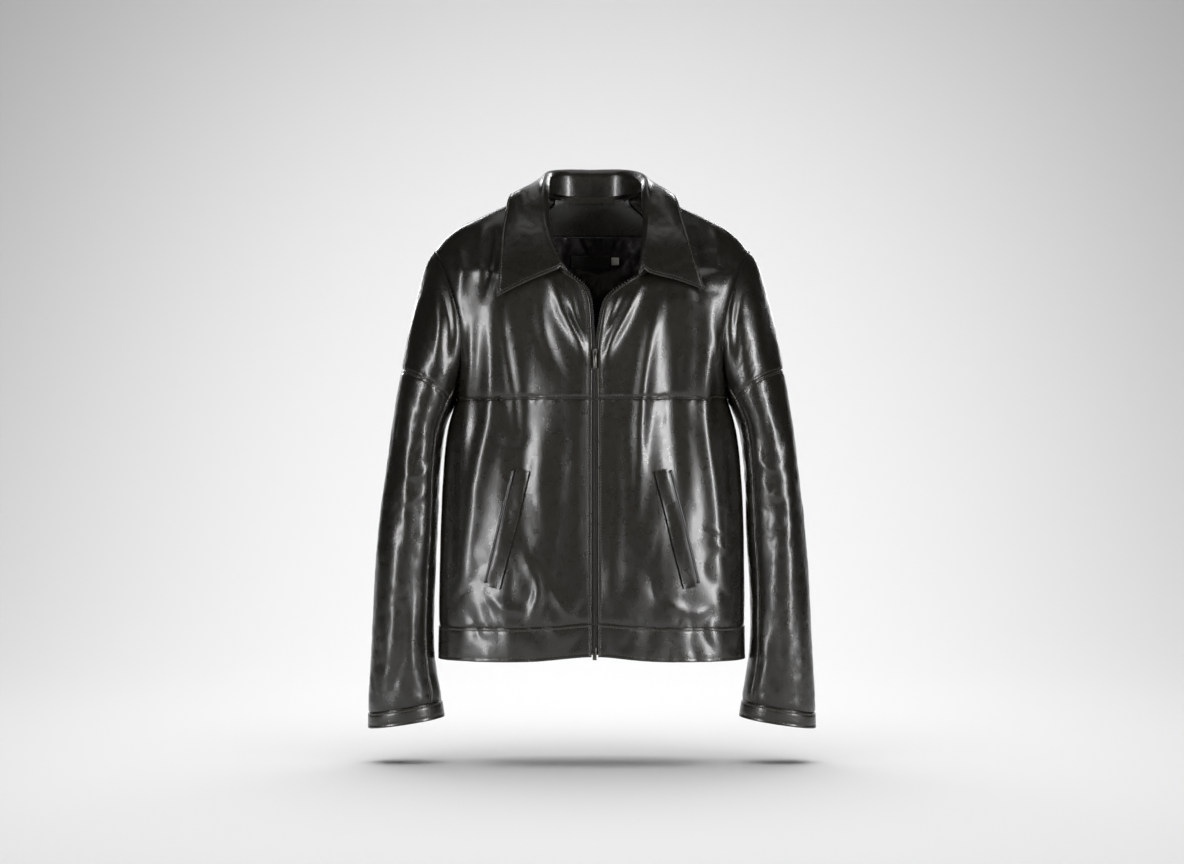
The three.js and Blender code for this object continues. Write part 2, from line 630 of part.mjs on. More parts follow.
function slider() {
  const z = -SLIDER_DEPTH;
  const back = SLIDER.front + SLIDER.plate;
  const webDepth = BACK_PLATE.y - back + 1;
  const bridgeZ = z + (BRIDGE.top + BRIDGE.bottom) / 2;
  const bridgeHeight = BRIDGE.top - BRIDGE.bottom;
  const bridgeY = SLIDER.front - BRIDGE.reach / 2 + 0.2;
  const solid = [
    box(SLIDER.width, SLIDER.plate, SLIDER.height, ZIP_X, SLIDER.front + SLIDER.plate / 2, z),
    box(WEB, webDepth, SLIDER.height - 1, ZIP_X, back - 0.4 + webDepth / 2, z),
    box(BACK_PLATE.width, BACK_PLATE.depth, SLIDER.height - 1, ZIP_X, BACK_PLATE.y, z),
    box(BRIDGE.width, BRIDGE.reach, bridgeHeight, ZIP_X, bridgeY, bridgeZ),
  ];
  const eye = box(
    BRIDGE.width + 1,
    BRIDGE.reach - BRIDGE.bar - 0.2,
    bridgeHeight - 2 * BRIDGE.bar,
    ZIP_X,
    SLIDER.front - (BRIDGE.reach - BRIDGE.bar - 0.2) / 2,
    bridgeZ,
  );
  piece("zip_slider", toGeometry(toSolid(union(solid)).subtract(toSolid(eye))), metal);
}

const PULL = { width: 5, length: 25, thickness: 1, arm: 1, eye: 6.4 };

function pull() {
  const half = PULL.width / 2;
  const plate = new THREE.Shape();
  plate.moveTo(-half, PULL.thickness / 2);
  plate.lineTo(-half, -PULL.length + half);
  plate.absarc(0, -PULL.length + half, half, Math.PI, 2 * Math.PI, false);
  plate.lineTo(half, PULL.thickness / 2);
  plate.closePath();
  const eye = new THREE.Path();
  const inner = half - PULL.arm;
  eye.moveTo(-inner, -PULL.thickness / 2);
  eye.lineTo(inner, -PULL.thickness / 2);
  eye.lineTo(inner, -PULL.eye);
  eye.lineTo(-inner, -PULL.eye);
  eye.closePath();
  plate.holes.push(eye);
  const options = { depth: PULL.thickness, bevelEnabled: false, curveSegments: 8 };
  const geometry = new THREE.ExtrudeGeometry(plate, options);
  geometry.translate(0, 0, -PULL.thickness / 2).rotateX(Math.PI / 2);
  piece("zip_pull", geometry, metal).position.copy(AXIS);
}

// Foot of the zip: the box on the right tape, and the pin on the left one that stands in it.
const BOX = { width: 5.6, depth: 2.4, height: 10, bottom: HEM_Z + 4 };
const PIN = { width: 1.6, depth: 1, x: 1.3, height: 16 };

function zipFoot() {
  const z = BOX.bottom + BOX.height / 2;
  const y = CHAIN_Y - 0.3;
  const block = box(BOX.width, BOX.depth, BOX.height, ZIP_X - 0.4, y, z);
  const channel = box(PIN.width + 1.8, PIN.depth + 0.6, BOX.height + 2, ZIP_X + PIN.x + 0.6, y, z);
  piece("zip_box", toGeometry(toSolid(block).subtract(toSolid(channel))), metal);
  const pinZ = BOX.bottom + 1 + PIN.height / 2;
  piece("zip_pin", box(PIN.width, PIN.depth, PIN.height, ZIP_X + PIN.x, y, pinZ), metal);
}

const STOP = { width: 1.2, depth: 1.8, height: 3, z: -118, u: 0.01 };

function topStop(side) {
  const p = inset(FRONTS[side], TAPE_INSET + 0.4).at(STOP.u, STOP.z);
  const stop = box(STOP.width, STOP.depth, STOP.height, p.x, p.y, p.z);
  piece(`${NAMES[side]}_zip_top_stop`, stop, metal);
}

// Sewn to the lining below the back of the neck.
const LABEL = { width: 58, height: 18, thickness: 0.5, x: -2, z: -101 };
const TAG = { size: 11, thickness: 0.4, x: 33, z: -100 };

function labels() {
  const y = BACK.at(0, LABEL.z).y - LINING_INSET - CLOTH - 1.8;
  const label = box(LABEL.width, LABEL.thickness, LABEL.height, LABEL.x, y, LABEL.z);
  piece("woven_label", label, woven);
  piece("size_tag", box(TAG.size, TAG.thickness, TAG.size, TAG.x, y, TAG.z), paper);
}

for (const side of [-1, 1]) {
  frontPanels(side);
  pocket(side);
  inside(side);
  sleevePieces(side);
  zipHalf(side);
  topStop(side);
}
backPanels();
insideBack();
collar();
slider();
pull();
zipFoot();
labels();

export default jacket;
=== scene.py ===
from itertools import product

import bpy
import numpy as np
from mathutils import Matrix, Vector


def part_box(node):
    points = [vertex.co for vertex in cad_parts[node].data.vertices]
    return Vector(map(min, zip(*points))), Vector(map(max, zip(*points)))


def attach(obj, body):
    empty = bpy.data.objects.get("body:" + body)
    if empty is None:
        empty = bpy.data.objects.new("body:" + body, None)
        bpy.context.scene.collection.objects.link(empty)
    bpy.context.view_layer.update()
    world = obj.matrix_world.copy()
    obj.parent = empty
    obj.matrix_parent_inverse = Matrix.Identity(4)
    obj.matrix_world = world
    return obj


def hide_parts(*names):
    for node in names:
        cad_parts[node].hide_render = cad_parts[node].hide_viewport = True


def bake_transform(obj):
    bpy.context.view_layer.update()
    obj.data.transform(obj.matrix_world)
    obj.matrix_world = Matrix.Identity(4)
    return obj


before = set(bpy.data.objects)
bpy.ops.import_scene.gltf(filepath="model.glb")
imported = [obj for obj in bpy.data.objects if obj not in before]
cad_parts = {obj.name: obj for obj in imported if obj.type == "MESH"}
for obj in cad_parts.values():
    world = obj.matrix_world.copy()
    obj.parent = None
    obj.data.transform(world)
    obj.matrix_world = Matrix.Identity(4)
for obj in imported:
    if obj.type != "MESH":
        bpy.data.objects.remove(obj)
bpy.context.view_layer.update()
SIDES = {"right": -1, "left": 1}
MM = 0.001

# The body and its seams, as the maker cut them
HALF_SHOULDER = 219
SHOULDER_Z = -91
HALF_NECK = 70
HEM_Z = -659
BAND_Z = -613
YOKE_Z = -297
HEM_LIFT = 8  # the hem rises this much at the zip
HEM_LIFT_SPREAD = 4000  # the square of how far the rise reaches
FRONT_DEPTH = 84
BACK_DEPTH = 78
ZIP_X = 4
ZIP_TOP = -234
TUBBINESS = 2.5
HIDE = 1.8  # one layer of leather
BAND = 2.8  # leather folded over tape
CLOTH = 0.8
SEAM_GAP = 0.1
SLEEVE_GAP = 1.4
FRONT_GAP = 4.5  # from the middle of the zip to each leather edge
PITCH = 3  # spacing of the points of a piece of leather

# Camera: level with the middle of the jacket and square to it, in metres
CAMERA_DISTANCE = 3.5
CAMERA_HEIGHT = -0.343
FRAME_WIDTH = 1.658

camera_data = bpy.data.cameras.new("camera")
camera_data.lens = camera_data.sensor_width * CAMERA_DISTANCE / FRAME_WIDTH
camera = bpy.data.objects.new("camera", camera_data)
camera.location = (0, -CAMERA_DISTANCE, CAMERA_HEIGHT)
camera.rotation_euler = (np.pi / 2, 0, 0)
bpy.context.scene.collection.objects.link(camera)
bpy.context.scene.camera = camera


# Curves


def clamp(x, low=0.0, high=1.0):
    return np.minimum(np.maximum(x, low), high)


def smooth(x, low, high):
    t = clamp((x - low) / (high - low))
    return t * t * (3 - 2 * t)


def mix(a, b, t):
    return a + (b - a) * t


def unit(v):
    return v / np.maximum(np.linalg.norm(v, axis=-1, keepdims=True), 1e-9)


def profile(stations):
    """A smooth function through (place, size) stations, in rising order of place."""
    places, sizes = np.array(stations, float).T
    before = np.maximum(np.arange(len(places)) - 1, 0)
    after = np.minimum(np.arange(len(places)) + 1, len(places) - 1)
    slopes = (sizes[after] - sizes[before]) / (places[after] - places[before])

    def at(place):
        i = np.clip(np.searchsorted(places, place), 1, len(places) - 1)
        width = places[i] - places[i - 1]
        t = clamp((place - places[i - 1]) / width)
        keep = (1 + 2 * t) * (1 - t) ** 2
        bend = t * (1 - t) * ((1 - t) * slopes[i - 1] - t * slopes[i]) * width
        return keep * sizes[i - 1] + (1 - keep) * sizes[i] + bend

    return at


def spline(points, t):
    """Places at shares t along the centripetal curve through points, each fixed or one per t."""
    t = np.asarray(t, float)
    p = [np.broadcast_to(np.asarray(q, float), t.shape + (3,)) for q in points]
    p = np.stack([2 * p[0] - p[1], *p, 2 * p[-1] - p[-2]])
    x = clamp(t) * (len(points) - 1)
    i = np.minimum(x.astype(int), len(points) - 2)
    w = (x - i)[..., None]
    a, b, c, d = (np.take_along_axis(p, (i + k)[None, ..., None], 0)[0] for k in range(4))
    steps = (np.linalg.norm(step, axis=-1, keepdims=True) for step in (b - a, c - b, d - c))
    g0, g1, g2 = (np.maximum(np.sqrt(step), 0.01) for step in steps)
    t1 = ((b - a) / g0 - (c - a) / (g0 + g1) + (c - b) / g1) * g1
    t2 = ((c - b) / g1 - (d - b) / (g1 + g2) + (d - c) / g2) * g1
    return b + t1 * w + (3 * (c - b) - 2 * t1 - t2) * w**2 + (2 * (b - c) + t1 + t2) * w**3


def noise(p, seed):
    """Smooth seeded noise from -1 to 1 at points p, with cells of size 1."""
    cell = np.floor(p).astype(np.int64)
    f = p - cell
    fade = f**3 * (f * (f * 6 - 15) + 10)
    total = np.zeros(p.shape[:-1])
    for corner in product((0, 1), repeat=3):
        c = cell + corner
        h = c[..., 0] * 374761393 + c[..., 1] * 668265263 + c[..., 2] * 1440662683
        h = (h + seed * 40503) & 0xFFFFFFFF
        h = ((h ^ (h >> 13)) * 1274126177) & 0xFFFFFFFF
        h ^= h >> 16
        turn = (h & 0xFFFF) / 0xFFFF * 2 * np.pi
        rise = (h >> 16) / 0xFFFF * 2 - 1
        flat = np.sqrt(np.maximum(1 - rise**2, 0))
        q = f - corner
        slope = q[..., 0] * flat * np.cos(turn) + q[..., 1] * flat * np.sin(turn) + q[..., 2] * rise
        share = np.where(corner, fade, 1 - fade).prod(-1)
        total += slope * share
    return total * 1.5


# Surfaces: each is a function of two numbers, with the sense that turns its normal outwards. The
# body's are a share u of the way from its middle to its side, and a height z.


class Surface:
    """A smooth surface with its folds. dv is the step in v that its normals are worked out over."""

    def __init__(self, at, sense, dv, folds):
        self.flat_at = at
        self.sense = sense
        self.dv = dv
        self.folds = folds

    def flat(self, u, v):
        """The place and the outward normal before any fold."""
        along = self.flat_at(u + 0.002, v) - self.flat_at(u - 0.002, v)
        up = self.flat_at(u, v + self.dv) - self.flat_at(u, v - self.dv)
        n = np.cross(along, up) * self.sense
        return self.flat_at(u, v), unit(n)

    def at(self, u, v, lift=0.0):
        """The place on the folded leather, lifted off it by this much."""
        p, n = self.flat(u, v)
        return p + n * (self.folds(p, n, u, v) + lift)[..., None]


def points(x, y, z):
    return np.stack(np.broadcast_arrays(x, y, z), -1).astype(float)


def roundness(s):
    return (1 - clamp(np.abs(s)) ** TUBBINESS) ** (1 / TUBBINESS)


# The side seam up to the armpit, and the shoulder line up to the neck.
half_width = profile([(HEM_Z, 214), (-565, 213), (-482, 212), (-412, 209), (-345, 202), (YOKE_Z, 188)])
shoulder_x = profile([(SHOULDER_Z, HALF_SHOULDER), (-71, 203), (-54, 180), (-31, 131), (0, HALF_NECK)])

SHOULDER = np.array([HALF_SHOULDER, 0, SHOULDER_Z], float)
ARMPIT = np.array([188, 0, YOKE_Z], float)
ARMHOLE_DEPTH = 62
ARMHOLE_BOW = 20
ARMHOLE_POINT = 1.6  # 1 is an ellipse, and more draws its two ends out to points


def loop(outer, inner, depth, bow, point, turn):
    """A place on the loop from its outer end round by the front (turn 0 to pi) and the back."""
    c, s = np.cos(turn), np.sin(turn)
    p = (outer + inner) / 2 + (outer - inner) * (c / 2)[..., None]
    p[..., 0] -= bow * s**2
    p[..., 1] -= depth * np.sign(s) * np.abs(s) ** point
    return p


def armhole_at(side, z):
    turn = np.arccos(clamp((z - YOKE_Z) / (SHOULDER_Z - YOKE_Z)) * 2 - 1)
    p = loop(SHOULDER, ARMPIT, ARMHOLE_DEPTH, ARMHOLE_BOW, ARMHOLE_POINT, turn)
    return points(side * p[..., 0], p[..., 1], z)


# The free edge of each front from the chest seam up: straight to the slider, out to the foot of
# the collar, and on up the neck seam under the leaf. The right one hangs straighter.
FRONT_EDGES = {
    -1: [(3, -82, -198), (1, -79, -168), (-4, -77, -149), (-14, -75, -136)],
    1: [(8, -82, -196), (15, -79, -164), (26, -76, -150), (42, -73, -139)],
}
FEET = {-1: (-36, -71, -121), 1: (63, -66, -126)}
FRONT_NECKS = {
    -1: [(-50, -64, -111), (-66, -49, -84), (-73, -27, -42), (-71.5, -9, -11)],
    1: [(76, -58, -118), (82, -46, -90), (80, -26, -45), (75, -9, -12)],
}


def neck_point(side):
    return (side * HALF_NECK, 0, 0)


# The middle of the back, and then the back of the neck up to its point.
BACK_SPINE = [(0, BACK_DEPTH, YOKE_Z), (0, 82, -180), (0, 72, -70)]
BACK_NECK = [(0, 60, -14), (35, 54, -12), (60, 32, -7), (HALF_NECK, 0, 0)]


def back_neck(side, t):
    return spline([(side * x, y, z) for x, y, z in BACK_NECK], t)


def edge_line(side, facing):
    """The middle of the front or the back from the chest seam up, and on up the neck."""
    if facing > 0:
        line = [*BACK_SPINE, *BACK_NECK]
    else:
        below = [(ZIP_X, -FRONT_DEPTH, YOKE_Z), (ZIP_X, -FRONT_DEPTH, ZIP_TOP + 6)]
        line = [*below, *FRONT_EDGES[side], FEET[side], *FRONT_NECKS[side], neck_point(side)]
    x = profile([(p[2], p[0]) for p in line])
    y = profile([(p[2], p[1]) for p in line])
    if facing > 0:
        return lambda z: points(side * np.maximum(x(z), 0), y(z), z)
    return lambda z: points(x(z), y(z), z)


def body_half(side, facing):
    edge = edge_line(side, facing)
    waist = (ZIP_X, -FRONT_DEPTH) if facing < 0 else (0, BACK_DEPTH)

    def at(u, v):
        z = np.minimum(v, -1)
        chest = (z >= YOKE_Z)[..., None]
        middle = np.where(chest, edge(z), points(*waist, z))
        shoulder = points(side * shoulder_x(z), 0, z)
        upper = np.where((z < SHOULDER_Z)[..., None], armhole_at(side, z), shoulder)
        rim = np.where(chest, upper, points(side * half_width(z), 0, z))
        fall = smooth(-z, -YOKE_Z, -HEM_Z) ** 3 if facing < 0 else 0
        lift = HEM_LIFT * fall * np.exp(-((u * HALF_SHOULDER) ** 2) / HEM_LIFT_SPREAD)
        x = mix(middle[..., 0], rim[..., 0], u)
        y = mix(-facing * rim[..., 1], middle[..., 1], roundness(u))
        return points(x, y, z + lift)

    return at


# Sleeve: at each share of its length, the x and z of its outer edge, those of its inner edge, its
# half depth and its bow.
SLEEVE = [
    (0, 219, -91, 188, -297, 62, 20),
    (0.06, 234, -122, 188.5, -299.5, 66, 17),
    (0.14, 248, -172, 190, -303, 68, 12),
    (0.26, 266, -255, 195, -312, 66, 6),
    (0.38, 279, -335, 206, -345, 62, 2),
    (0.5, 288, -410, 212.5, -412, 58, 0),
    (0.62, 296, -485, 215.5, -482, 54, 0),
    (0.74, 303, -575, 219.5, -565, 49, 0),
    (0.86, 308, -660, 219, -650, 45, 0),
    (0.965, 311, -735, 208.5, -718, 41, 0),
    (1, 311.5, -757, 205, -741, 40, 0),
]
SLEEVE_SEAM_V = 0.262
sleeve_sizes = [profile([(row[0], row[k]) for row in SLEEVE]) for k in range(1, 7)]


def sleeve_flat(side):
    """u is the turn in half turns: 0 outside, 0.5 at the front, 1 inside. v runs down the sleeve."""

    def at(u, v):
        outer_x, outer_z, inner_x, inner_z, depth, bow = (size(v) for size in sleeve_sizes)
        outer, inner = points(outer_x, 0, outer_z), points(inner_x, 0, inner_z)
        point = mix(ARMHOLE_POINT, 1, clamp(v / SLEEVE_SEAM_V))
        p = loop(outer, inner, depth, bow, point, u * np.pi)
        return p * (side, 1, 1) + points(side * SLEEVE_GAP * smooth(v, 0, 0.03), 0, 0)

    return at


# Collar: from the neck seam up to the fold and down to the leaf's edge, each from the middle of
# the back (0) to the front end (1).
ROLL = 7.6
LEAF_DROP = 0.6  # how far down the leaf starts, as a share of the roll
CROWN = 1.5
BACK_SHARE = 0.42  # of the half collar's length, along the back of the neck
FOLD_FRONTS = {
    -1: [(-66, 10, 16), (-67, -22, -4), (-65, -43, -42), (-57, -64, -78), (-41, -82, -115)],
    1: [(75, 10, 16), (76, -22, -5), (77, -45, -48), (74, -66, -84), (71, -80, -119)],
}
EDGE_FRONTS = {
    -1: [(-116, -6, -12), (-124, -48, -62), (-127, -78, -114), (-131, -90, -158)],
    1: [(118, -6, -14), (129, -48, -59), (142, -74, -106), (156, -84, -149)],
}


def collar_half(side, t, w):
    neck = [FEET[side], *FRONT_NECKS[side], neck_point(side)]
    behind = back_neck(side, clamp(t / BACK_SHARE))
    ahead = spline(neck, 1 - clamp((t - BACK_SHARE) / (1 - BACK_SHARE)))
    seam = np.where((t < BACK_SHARE)[..., None], behind, ahead)
    fold = spline([(0, 64, 31), (side * 38, 60, 31), (side * 60, 42, 27), *FOLD_FRONTS[side]], t)
    edge = spline([(0, 98, -44), (side * 66, 88, -44), (side * 112, 50, -26), *EDGE_FRONTS[side]], t)
    away = unit((edge - seam) * (1, 1, 0))
    into = fold - away * ROLL - (0, 0, ROLL)
    over = fold + away * ROLL - (0, 0, ROLL * LEAF_DROP)
    crown = (over + edge) / 2 + away * CROWN + (0, 0, CROWN)
    return spline([seam, into, fold, over, crown, edge], w)


def collar_flat(u, w):
    t = np.abs(u)
    return np.where((u < 0)[..., None], collar_half(-1, t, w), collar_half(1, t, w))


# Folds. A fold is a ridge (or a valley, where its height is negative) that follows a line drawn
# on the front or the back in x and z, with its height and half width in mm.


def fold(x, z, line, height, width):
    t = np.linspace(0, 1, 17)
    path = spline([(a, 0, b) for a, b in line], t)[:, [0, 2]]
    reach = 3 * width
    low, high = path.min(0) - reach, path.max(0) + reach
    near = (x > low[0]) & (x < high[0]) & (z > low[1]) & (z < high[1])
    rise = np.zeros(x.shape)
    if not near.any():
        return rise
    p = np.stack([x[near], z[near]], -1)[:, None]
    a, b = path[:-1], path[1:]
    share = clamp(((p - a) * (b - a)).sum(-1) / ((b - a) ** 2).sum(-1))
    gap = np.linalg.norm(p - a - (b - a) * share[..., None], axis=-1)
    k = gap.argmin(-1)
    rows = np.arange(len(k))
    along = (k + share[rows, k]) / len(a)
    taper = np.sin(np.pi * along) ** 0.8
    rise[near] = height * taper * np.exp(-((gap[rows, k] / width) ** 2))
    return rise


def pillows(p, size, seed):
    """Soft swellings with sharper creases between them, as creased hide has, from 0 to 1."""
    return np.sqrt(noise(p / size, seed) ** 2 + 0.004)


# Long soft ridges where the hide hangs from the shoulders, and drag lines from the collar's tips
# down to the slider.
FRONT_FOLDS = [
    ([(-138, -130), (-137, -223), (-139, -320), (-160, -420), (-172, -560)], 5.8, 13),
    ([(-126, -150), (-118, -223), (-107, -300), (-100, -370)], 3.2, 8),
    ([(-165, -180), (-168, -260), (-172, -330), (-184, -420)], 3.0, 8),
    ([(-150, -52), (-153, -90), (-152, -140)], 2.8, 8),
    ([(-186, -84), (-180, -118), (-184, -160)], 2.5, 8),
    ([(-134, -60), (-136, -110), (-148, -170)], -3.5, 7),
    ([(-92, -190), (-92, -300), (-98, -420), (-92, -540)], -4.9, 17),
    ([(-56, -128), (-40, -178), (-21, -212), (-4, -246)], 5.2, 9),
    ([(-74, -150), (-64, -215), (-36, -275)], -3.2, 10),
    ([(-30, -150), (-22, -190), (-8, -222)], -2.6, 6),
    ([(-190, -330), (-196, -450), (-190, -590)], -4.3, 12),
    ([(-60, -320), (-70, -400), (-62, -500)], 3.2, 15),
    ([(-96, -500), (-74, -560), (-84, -608)], 3.5, 9),
    ([(-60, -545), (-40, -585), (-20, -604)], 2.5, 8),
    ([(-150, -560), (-122, -582), (-90, -590)], 2.5, 8),
    ([(-130, -330), (-112, -352), (-84, -346)], 1.5, 9),
    ([(71, -130), (46, -183), (27, -218), (12, -250)], 5.2, 8),
    ([(40, -150), (26, -178), (15, -208)], 2.5, 5),
    ([(96, -160), (83, -204), (75, -244), (67, -320), (64, -400), (58, -500)], 5.5, 11),
    ([(116, -190), (112, -300), (118, -420), (106, -540)], -4.6, 16),
    ([(164, -150), (161, -236), (156, -320), (168, -428), (184, -590)], 5.8, 12),
    ([(168, -200), (178, -270), (184, -330)], 2.8, 6),
    ([(171, -50), (173, -84), (174, -130)], 2.8, 8),
    ([(140, -56), (146, -110), (146, -170)], -2.9, 9),
    ([(192, -330), (196, -420), (204, -520)], -4.1, 9),
    ([(152, -470), (176, -480), (203, -474)], 1.3, 4.5),
    ([(160, -492), (182, -503), (206, -500)], 1.4, 4.5),
    ([(176, -440), (192, -452), (206, -450)], 2.2, 5),
    ([(96, -570), (128, -588), (160, -592)], 2.5, 8),
    ([(30, -330), (36, -430), (28, -590)], 2.8, 14),
    ([(-185, -236), (-188, -275), (-196, -330)], 3.2, 6),
    ([(186, -232), (188, -280), (197, -335)], 3.2, 6),
]

# On the back the hide is pulled across the shoulder blades and hangs in long soft folds.
BACK_FOLDS = [
    ([(-130, -110), (-120, -220), (-128, -330), (-116, -520)], 2.6, 20),
    ([(126, -105), (120, -220), (130, -330), (120, -500)], 2.6, 20),
    ([(-60, -330), (-52, -450), (-62, -600)], 2.0, 18),
    ([(66, -340), (60, -470), (72, -600)], 2.0, 18),
    ([(-178, -180), (-160, -250), (-120, -282)], 2.2, 9),
    ([(178, -180), (158, -252), (118, -284)], 2.2, 9),
    ([(-90, -120), (0, -150), (90, -118)], -2.0, 16),
    ([(-60, -96), (0, -116), (60, -96)], 1.6, 9),
    ([(-186, -340), (-150, -420), (-150, -520)], -2.0, 14),
    ([(186, -340), (152, -430), (150, -530)], -2.0, 14),
    ([(-20, -320), (10, -420), (-6, -560)], -1.6, 18),
    ([(-170, -560), (-130, -585), (-90, -590)], 1.4, 8),
    ([(100, -575), (140, -590), (178, -584)], 1.4, 8),
]


def body_folds(p, n, u, _):
    x, z = p[..., 0], p[..., 2]
    facing = smooth(-n[..., 1], -0.25, 0.25)
    height = np.zeros(x.shape)
    for share, folds in ((facing, FRONT_FOLDS), (1 - facing, BACK_FOLDS)):
        height += share * sum(fold(x, z, *f) for f in folds)
    hang = 3.2 * noise(p / (48, 48, 200), 3)
    lower = smooth(-z, 430, 590)
    crease = (0.8 + 2.2 * lower) * pillows(p, np.array((34, 34, 50)), 11)
    small = 0.3 * pillows(p, np.array((13, 13, 18)), 23) * smooth(noise(p / 60, 5), -0.1, 0.4)
    calm = np.where(n[..., 1] < 0, smooth(np.abs(u) * HALF_SHOULDER, 3, 26), 1)
    side = 1 - 0.6 * smooth(np.abs(u), 0.93, 1)
    top = 1 - smooth(z, -60, -20)
    return (height + hang + crease + small) * calm * side * top


# On a sleeve the hide twists in long ridges, breaks across the inside of the elbow, and gathers a
# little over the cuff.
SLEEVE_FOLDS = {
    -1: [
        ([(-206, -128), (-196, -190), (-200, -262)], -3.4, 8),
        ([(-216, -140), (-210, -200), (-216, -255)], 2.6, 8),
        ([(-240, -150), (-250, -205), (-252, -250)], 1.5, 10),
        ([(-230, -330), (-229, -430), (-236, -540)], 2.8, 9),
        ([(-262, -300), (-270, -420), (-266, -520)], -2.0, 12),
        ([(-284, -330), (-292, -430), (-298, -530)], 1.5, 9),
        ([(-220, -380), (-238, -402), (-262, -400)], 1.8, 6),
        ([(-222, -410), (-244, -436), (-276, -440)], 1.6, 7),
        ([(-238, -560), (-250, -640), (-236, -725)], 2.4, 9),
        ([(-272, -560), (-262, -640), (-280, -715)], -2.0, 9),
        ([(-290, -600), (-284, -660), (-296, -725)], 1.7, 8),
    ],
    1: [
        ([(206, -120), (199, -190), (202, -280)], -3.4, 7),
        ([(222, -130), (226, -200), (228, -262)], 2.8, 12),
        ([(246, -170), (252, -215), (250, -258)], -1.3, 8),
        ([(268, -300), (274, -430), (276, -560), (274, -700)], 2.6, 12),
        ([(238, -320), (246, -430), (242, -560)], -2.2, 11),
        ([(222, -370), (240, -392), (268, -392)], 1.6, 6),
        ([(224, -404), (246, -428), (280, -430)], 1.6, 7),
        ([(228, -590), (240, -660), (228, -716)], 2.0, 8),
        ([(296, -560), (290, -640), (300, -716)], 1.5, 8),
        ([(252, -590), (256, -650), (252, -720)], -1.6, 8),
    ],
}


def sleeve_folds(side):
    def folds(p, n, u, v):
        x, z = p[..., 0], p[..., 2]
        front = smooth(-n[..., 1], -0.1, 0.35)
        height = front * sum(fold(x, z, *f) for f in SLEEVE_FOLDS[side])
        behind = smooth(n[..., 1], -0.1, 0.35)
        height += behind * sum(fold(-x, z, *f) for f in SLEEVE_FOLDS[-side])
        hang = 2.0 * noise(p / (36, 36, 150), 31 + side)
        elbow = np.exp(-(((z + 420) / 90) ** 2)) + 0.7 * smooth(-z, 620, 700)
        crease = (0.7 + 1.1 * elbow) * pillows(p, np.array((26, 26, 30)), 41 + side)
        small = 0.4 * pillows(p, np.array((11, 11, 13)), 53)
        head = 2.6 * np.exp(-((v / 0.055) ** 2)) * smooth(-z, 300, 240)
        hold = smooth(v, 0, 0.05) * (1 - 0.7 * smooth(v, 0.94, 0.97))
        return (height + hang + crease + small) * hold + head

    return folds


def collar_folds(p, _, u, w):
    leaf = smooth(w, 0.45, 0.7)
    wave = 1.6 * noise(p / 55, 61) * leaf
    crease = 0.5 * pillows(p, 17, 67) + 0.25 * noise(p / 9, 71)
    return wave + crease * (0.4 + 0.6 * leaf)


FRONTS = {side: Surface(body_half(side, -1), side, 0.5, body_folds) for side in (-1, 1)}
BACKS = {side: body_half(side, 1) for side in (-1, 1)}
SLEEVES = {side: Surface(sleeve_flat(side), side, 0.002, sleeve_folds(side)) for side in (-1, 1)}
COLLAR = Surface(collar_flat, 1, 0.004, collar_folds)


def back_both(u, z):
    return np.where((u < 0)[..., None], BACKS[-1](-u, z), BACKS[1](u, z))


BACK = Surface(back_both, -1, 0.5, body_folds)


# Meshes


NEAR_EDGE = np.array([0, 0.3, 0.7, 1.2, 1.9, 2.7, 3.5, 4.4])
EDGE_REACH = 6


def spread(a, b, length, pitch=PITCH, rolled_ends=True):
    """Values from a to b, pitch apart over this length, and closer together near rolled ends."""
    margin = EDGE_REACH if rolled_ends else 0
    count = max(int(round((length - 2 * margin) / pitch)), 1)
    places = np.linspace(margin, length - margin, count + 1)
    if rolled_ends:
        places = np.concatenate([NEAR_EDGE, places, (length - NEAR_EDGE)[::-1]])
    return a + (b - a) * places / length


def grid_normals(grid, sense, closed):
    if closed:
        along = np.roll(grid, -1, 1) - np.roll(grid, 1, 1)
    else:
        along = np.gradient(grid, axis=1)
    return unit(np.cross(along, np.gradient(grid, axis=0))) * sense


FAR = 1e3


def edge_gaps(grid, closed):
    """How far each point is from the first and last column, and the first and last row."""
    across = np.linalg.norm(np.diff(grid, axis=1), axis=-1)
    across = np.concatenate([np.zeros((len(grid), 1)), across.cumsum(1)], 1)
    down = np.linalg.norm(np.diff(grid, axis=0), axis=-1)
    down = np.concatenate([np.zeros((1, grid.shape[1])), down.cumsum(0)], 0)
    far = np.full(across.shape, FAR)
    return {
        "u0": far if closed else across,
        "u1": far if closed else across[:, -1:] - across,
        "v0": down,
        "v1": down[-1:] - down,
    }


def new_object(name, vertices, faces, material, wear=None):
    mesh = bpy.data.meshes.new(name)
    mesh.from_pydata((np.asarray(vertices) * MM).tolist(), [], faces)
    mesh.polygons.foreach_set("use_smooth", np.ones(len(mesh.polygons), bool))
    if wear is not None:
        mesh.attributes.new("wear", "FLOAT", "POINT").data.foreach_set("value", wear.ravel())
    mesh.materials.append(material)
    mesh.update()
    made = bpy.data.objects.new(name, mesh)
    bpy.context.scene.collection.objects.link(made)
    return made


ALL_EDGES = ("u0", "u1", "v0", "v1")


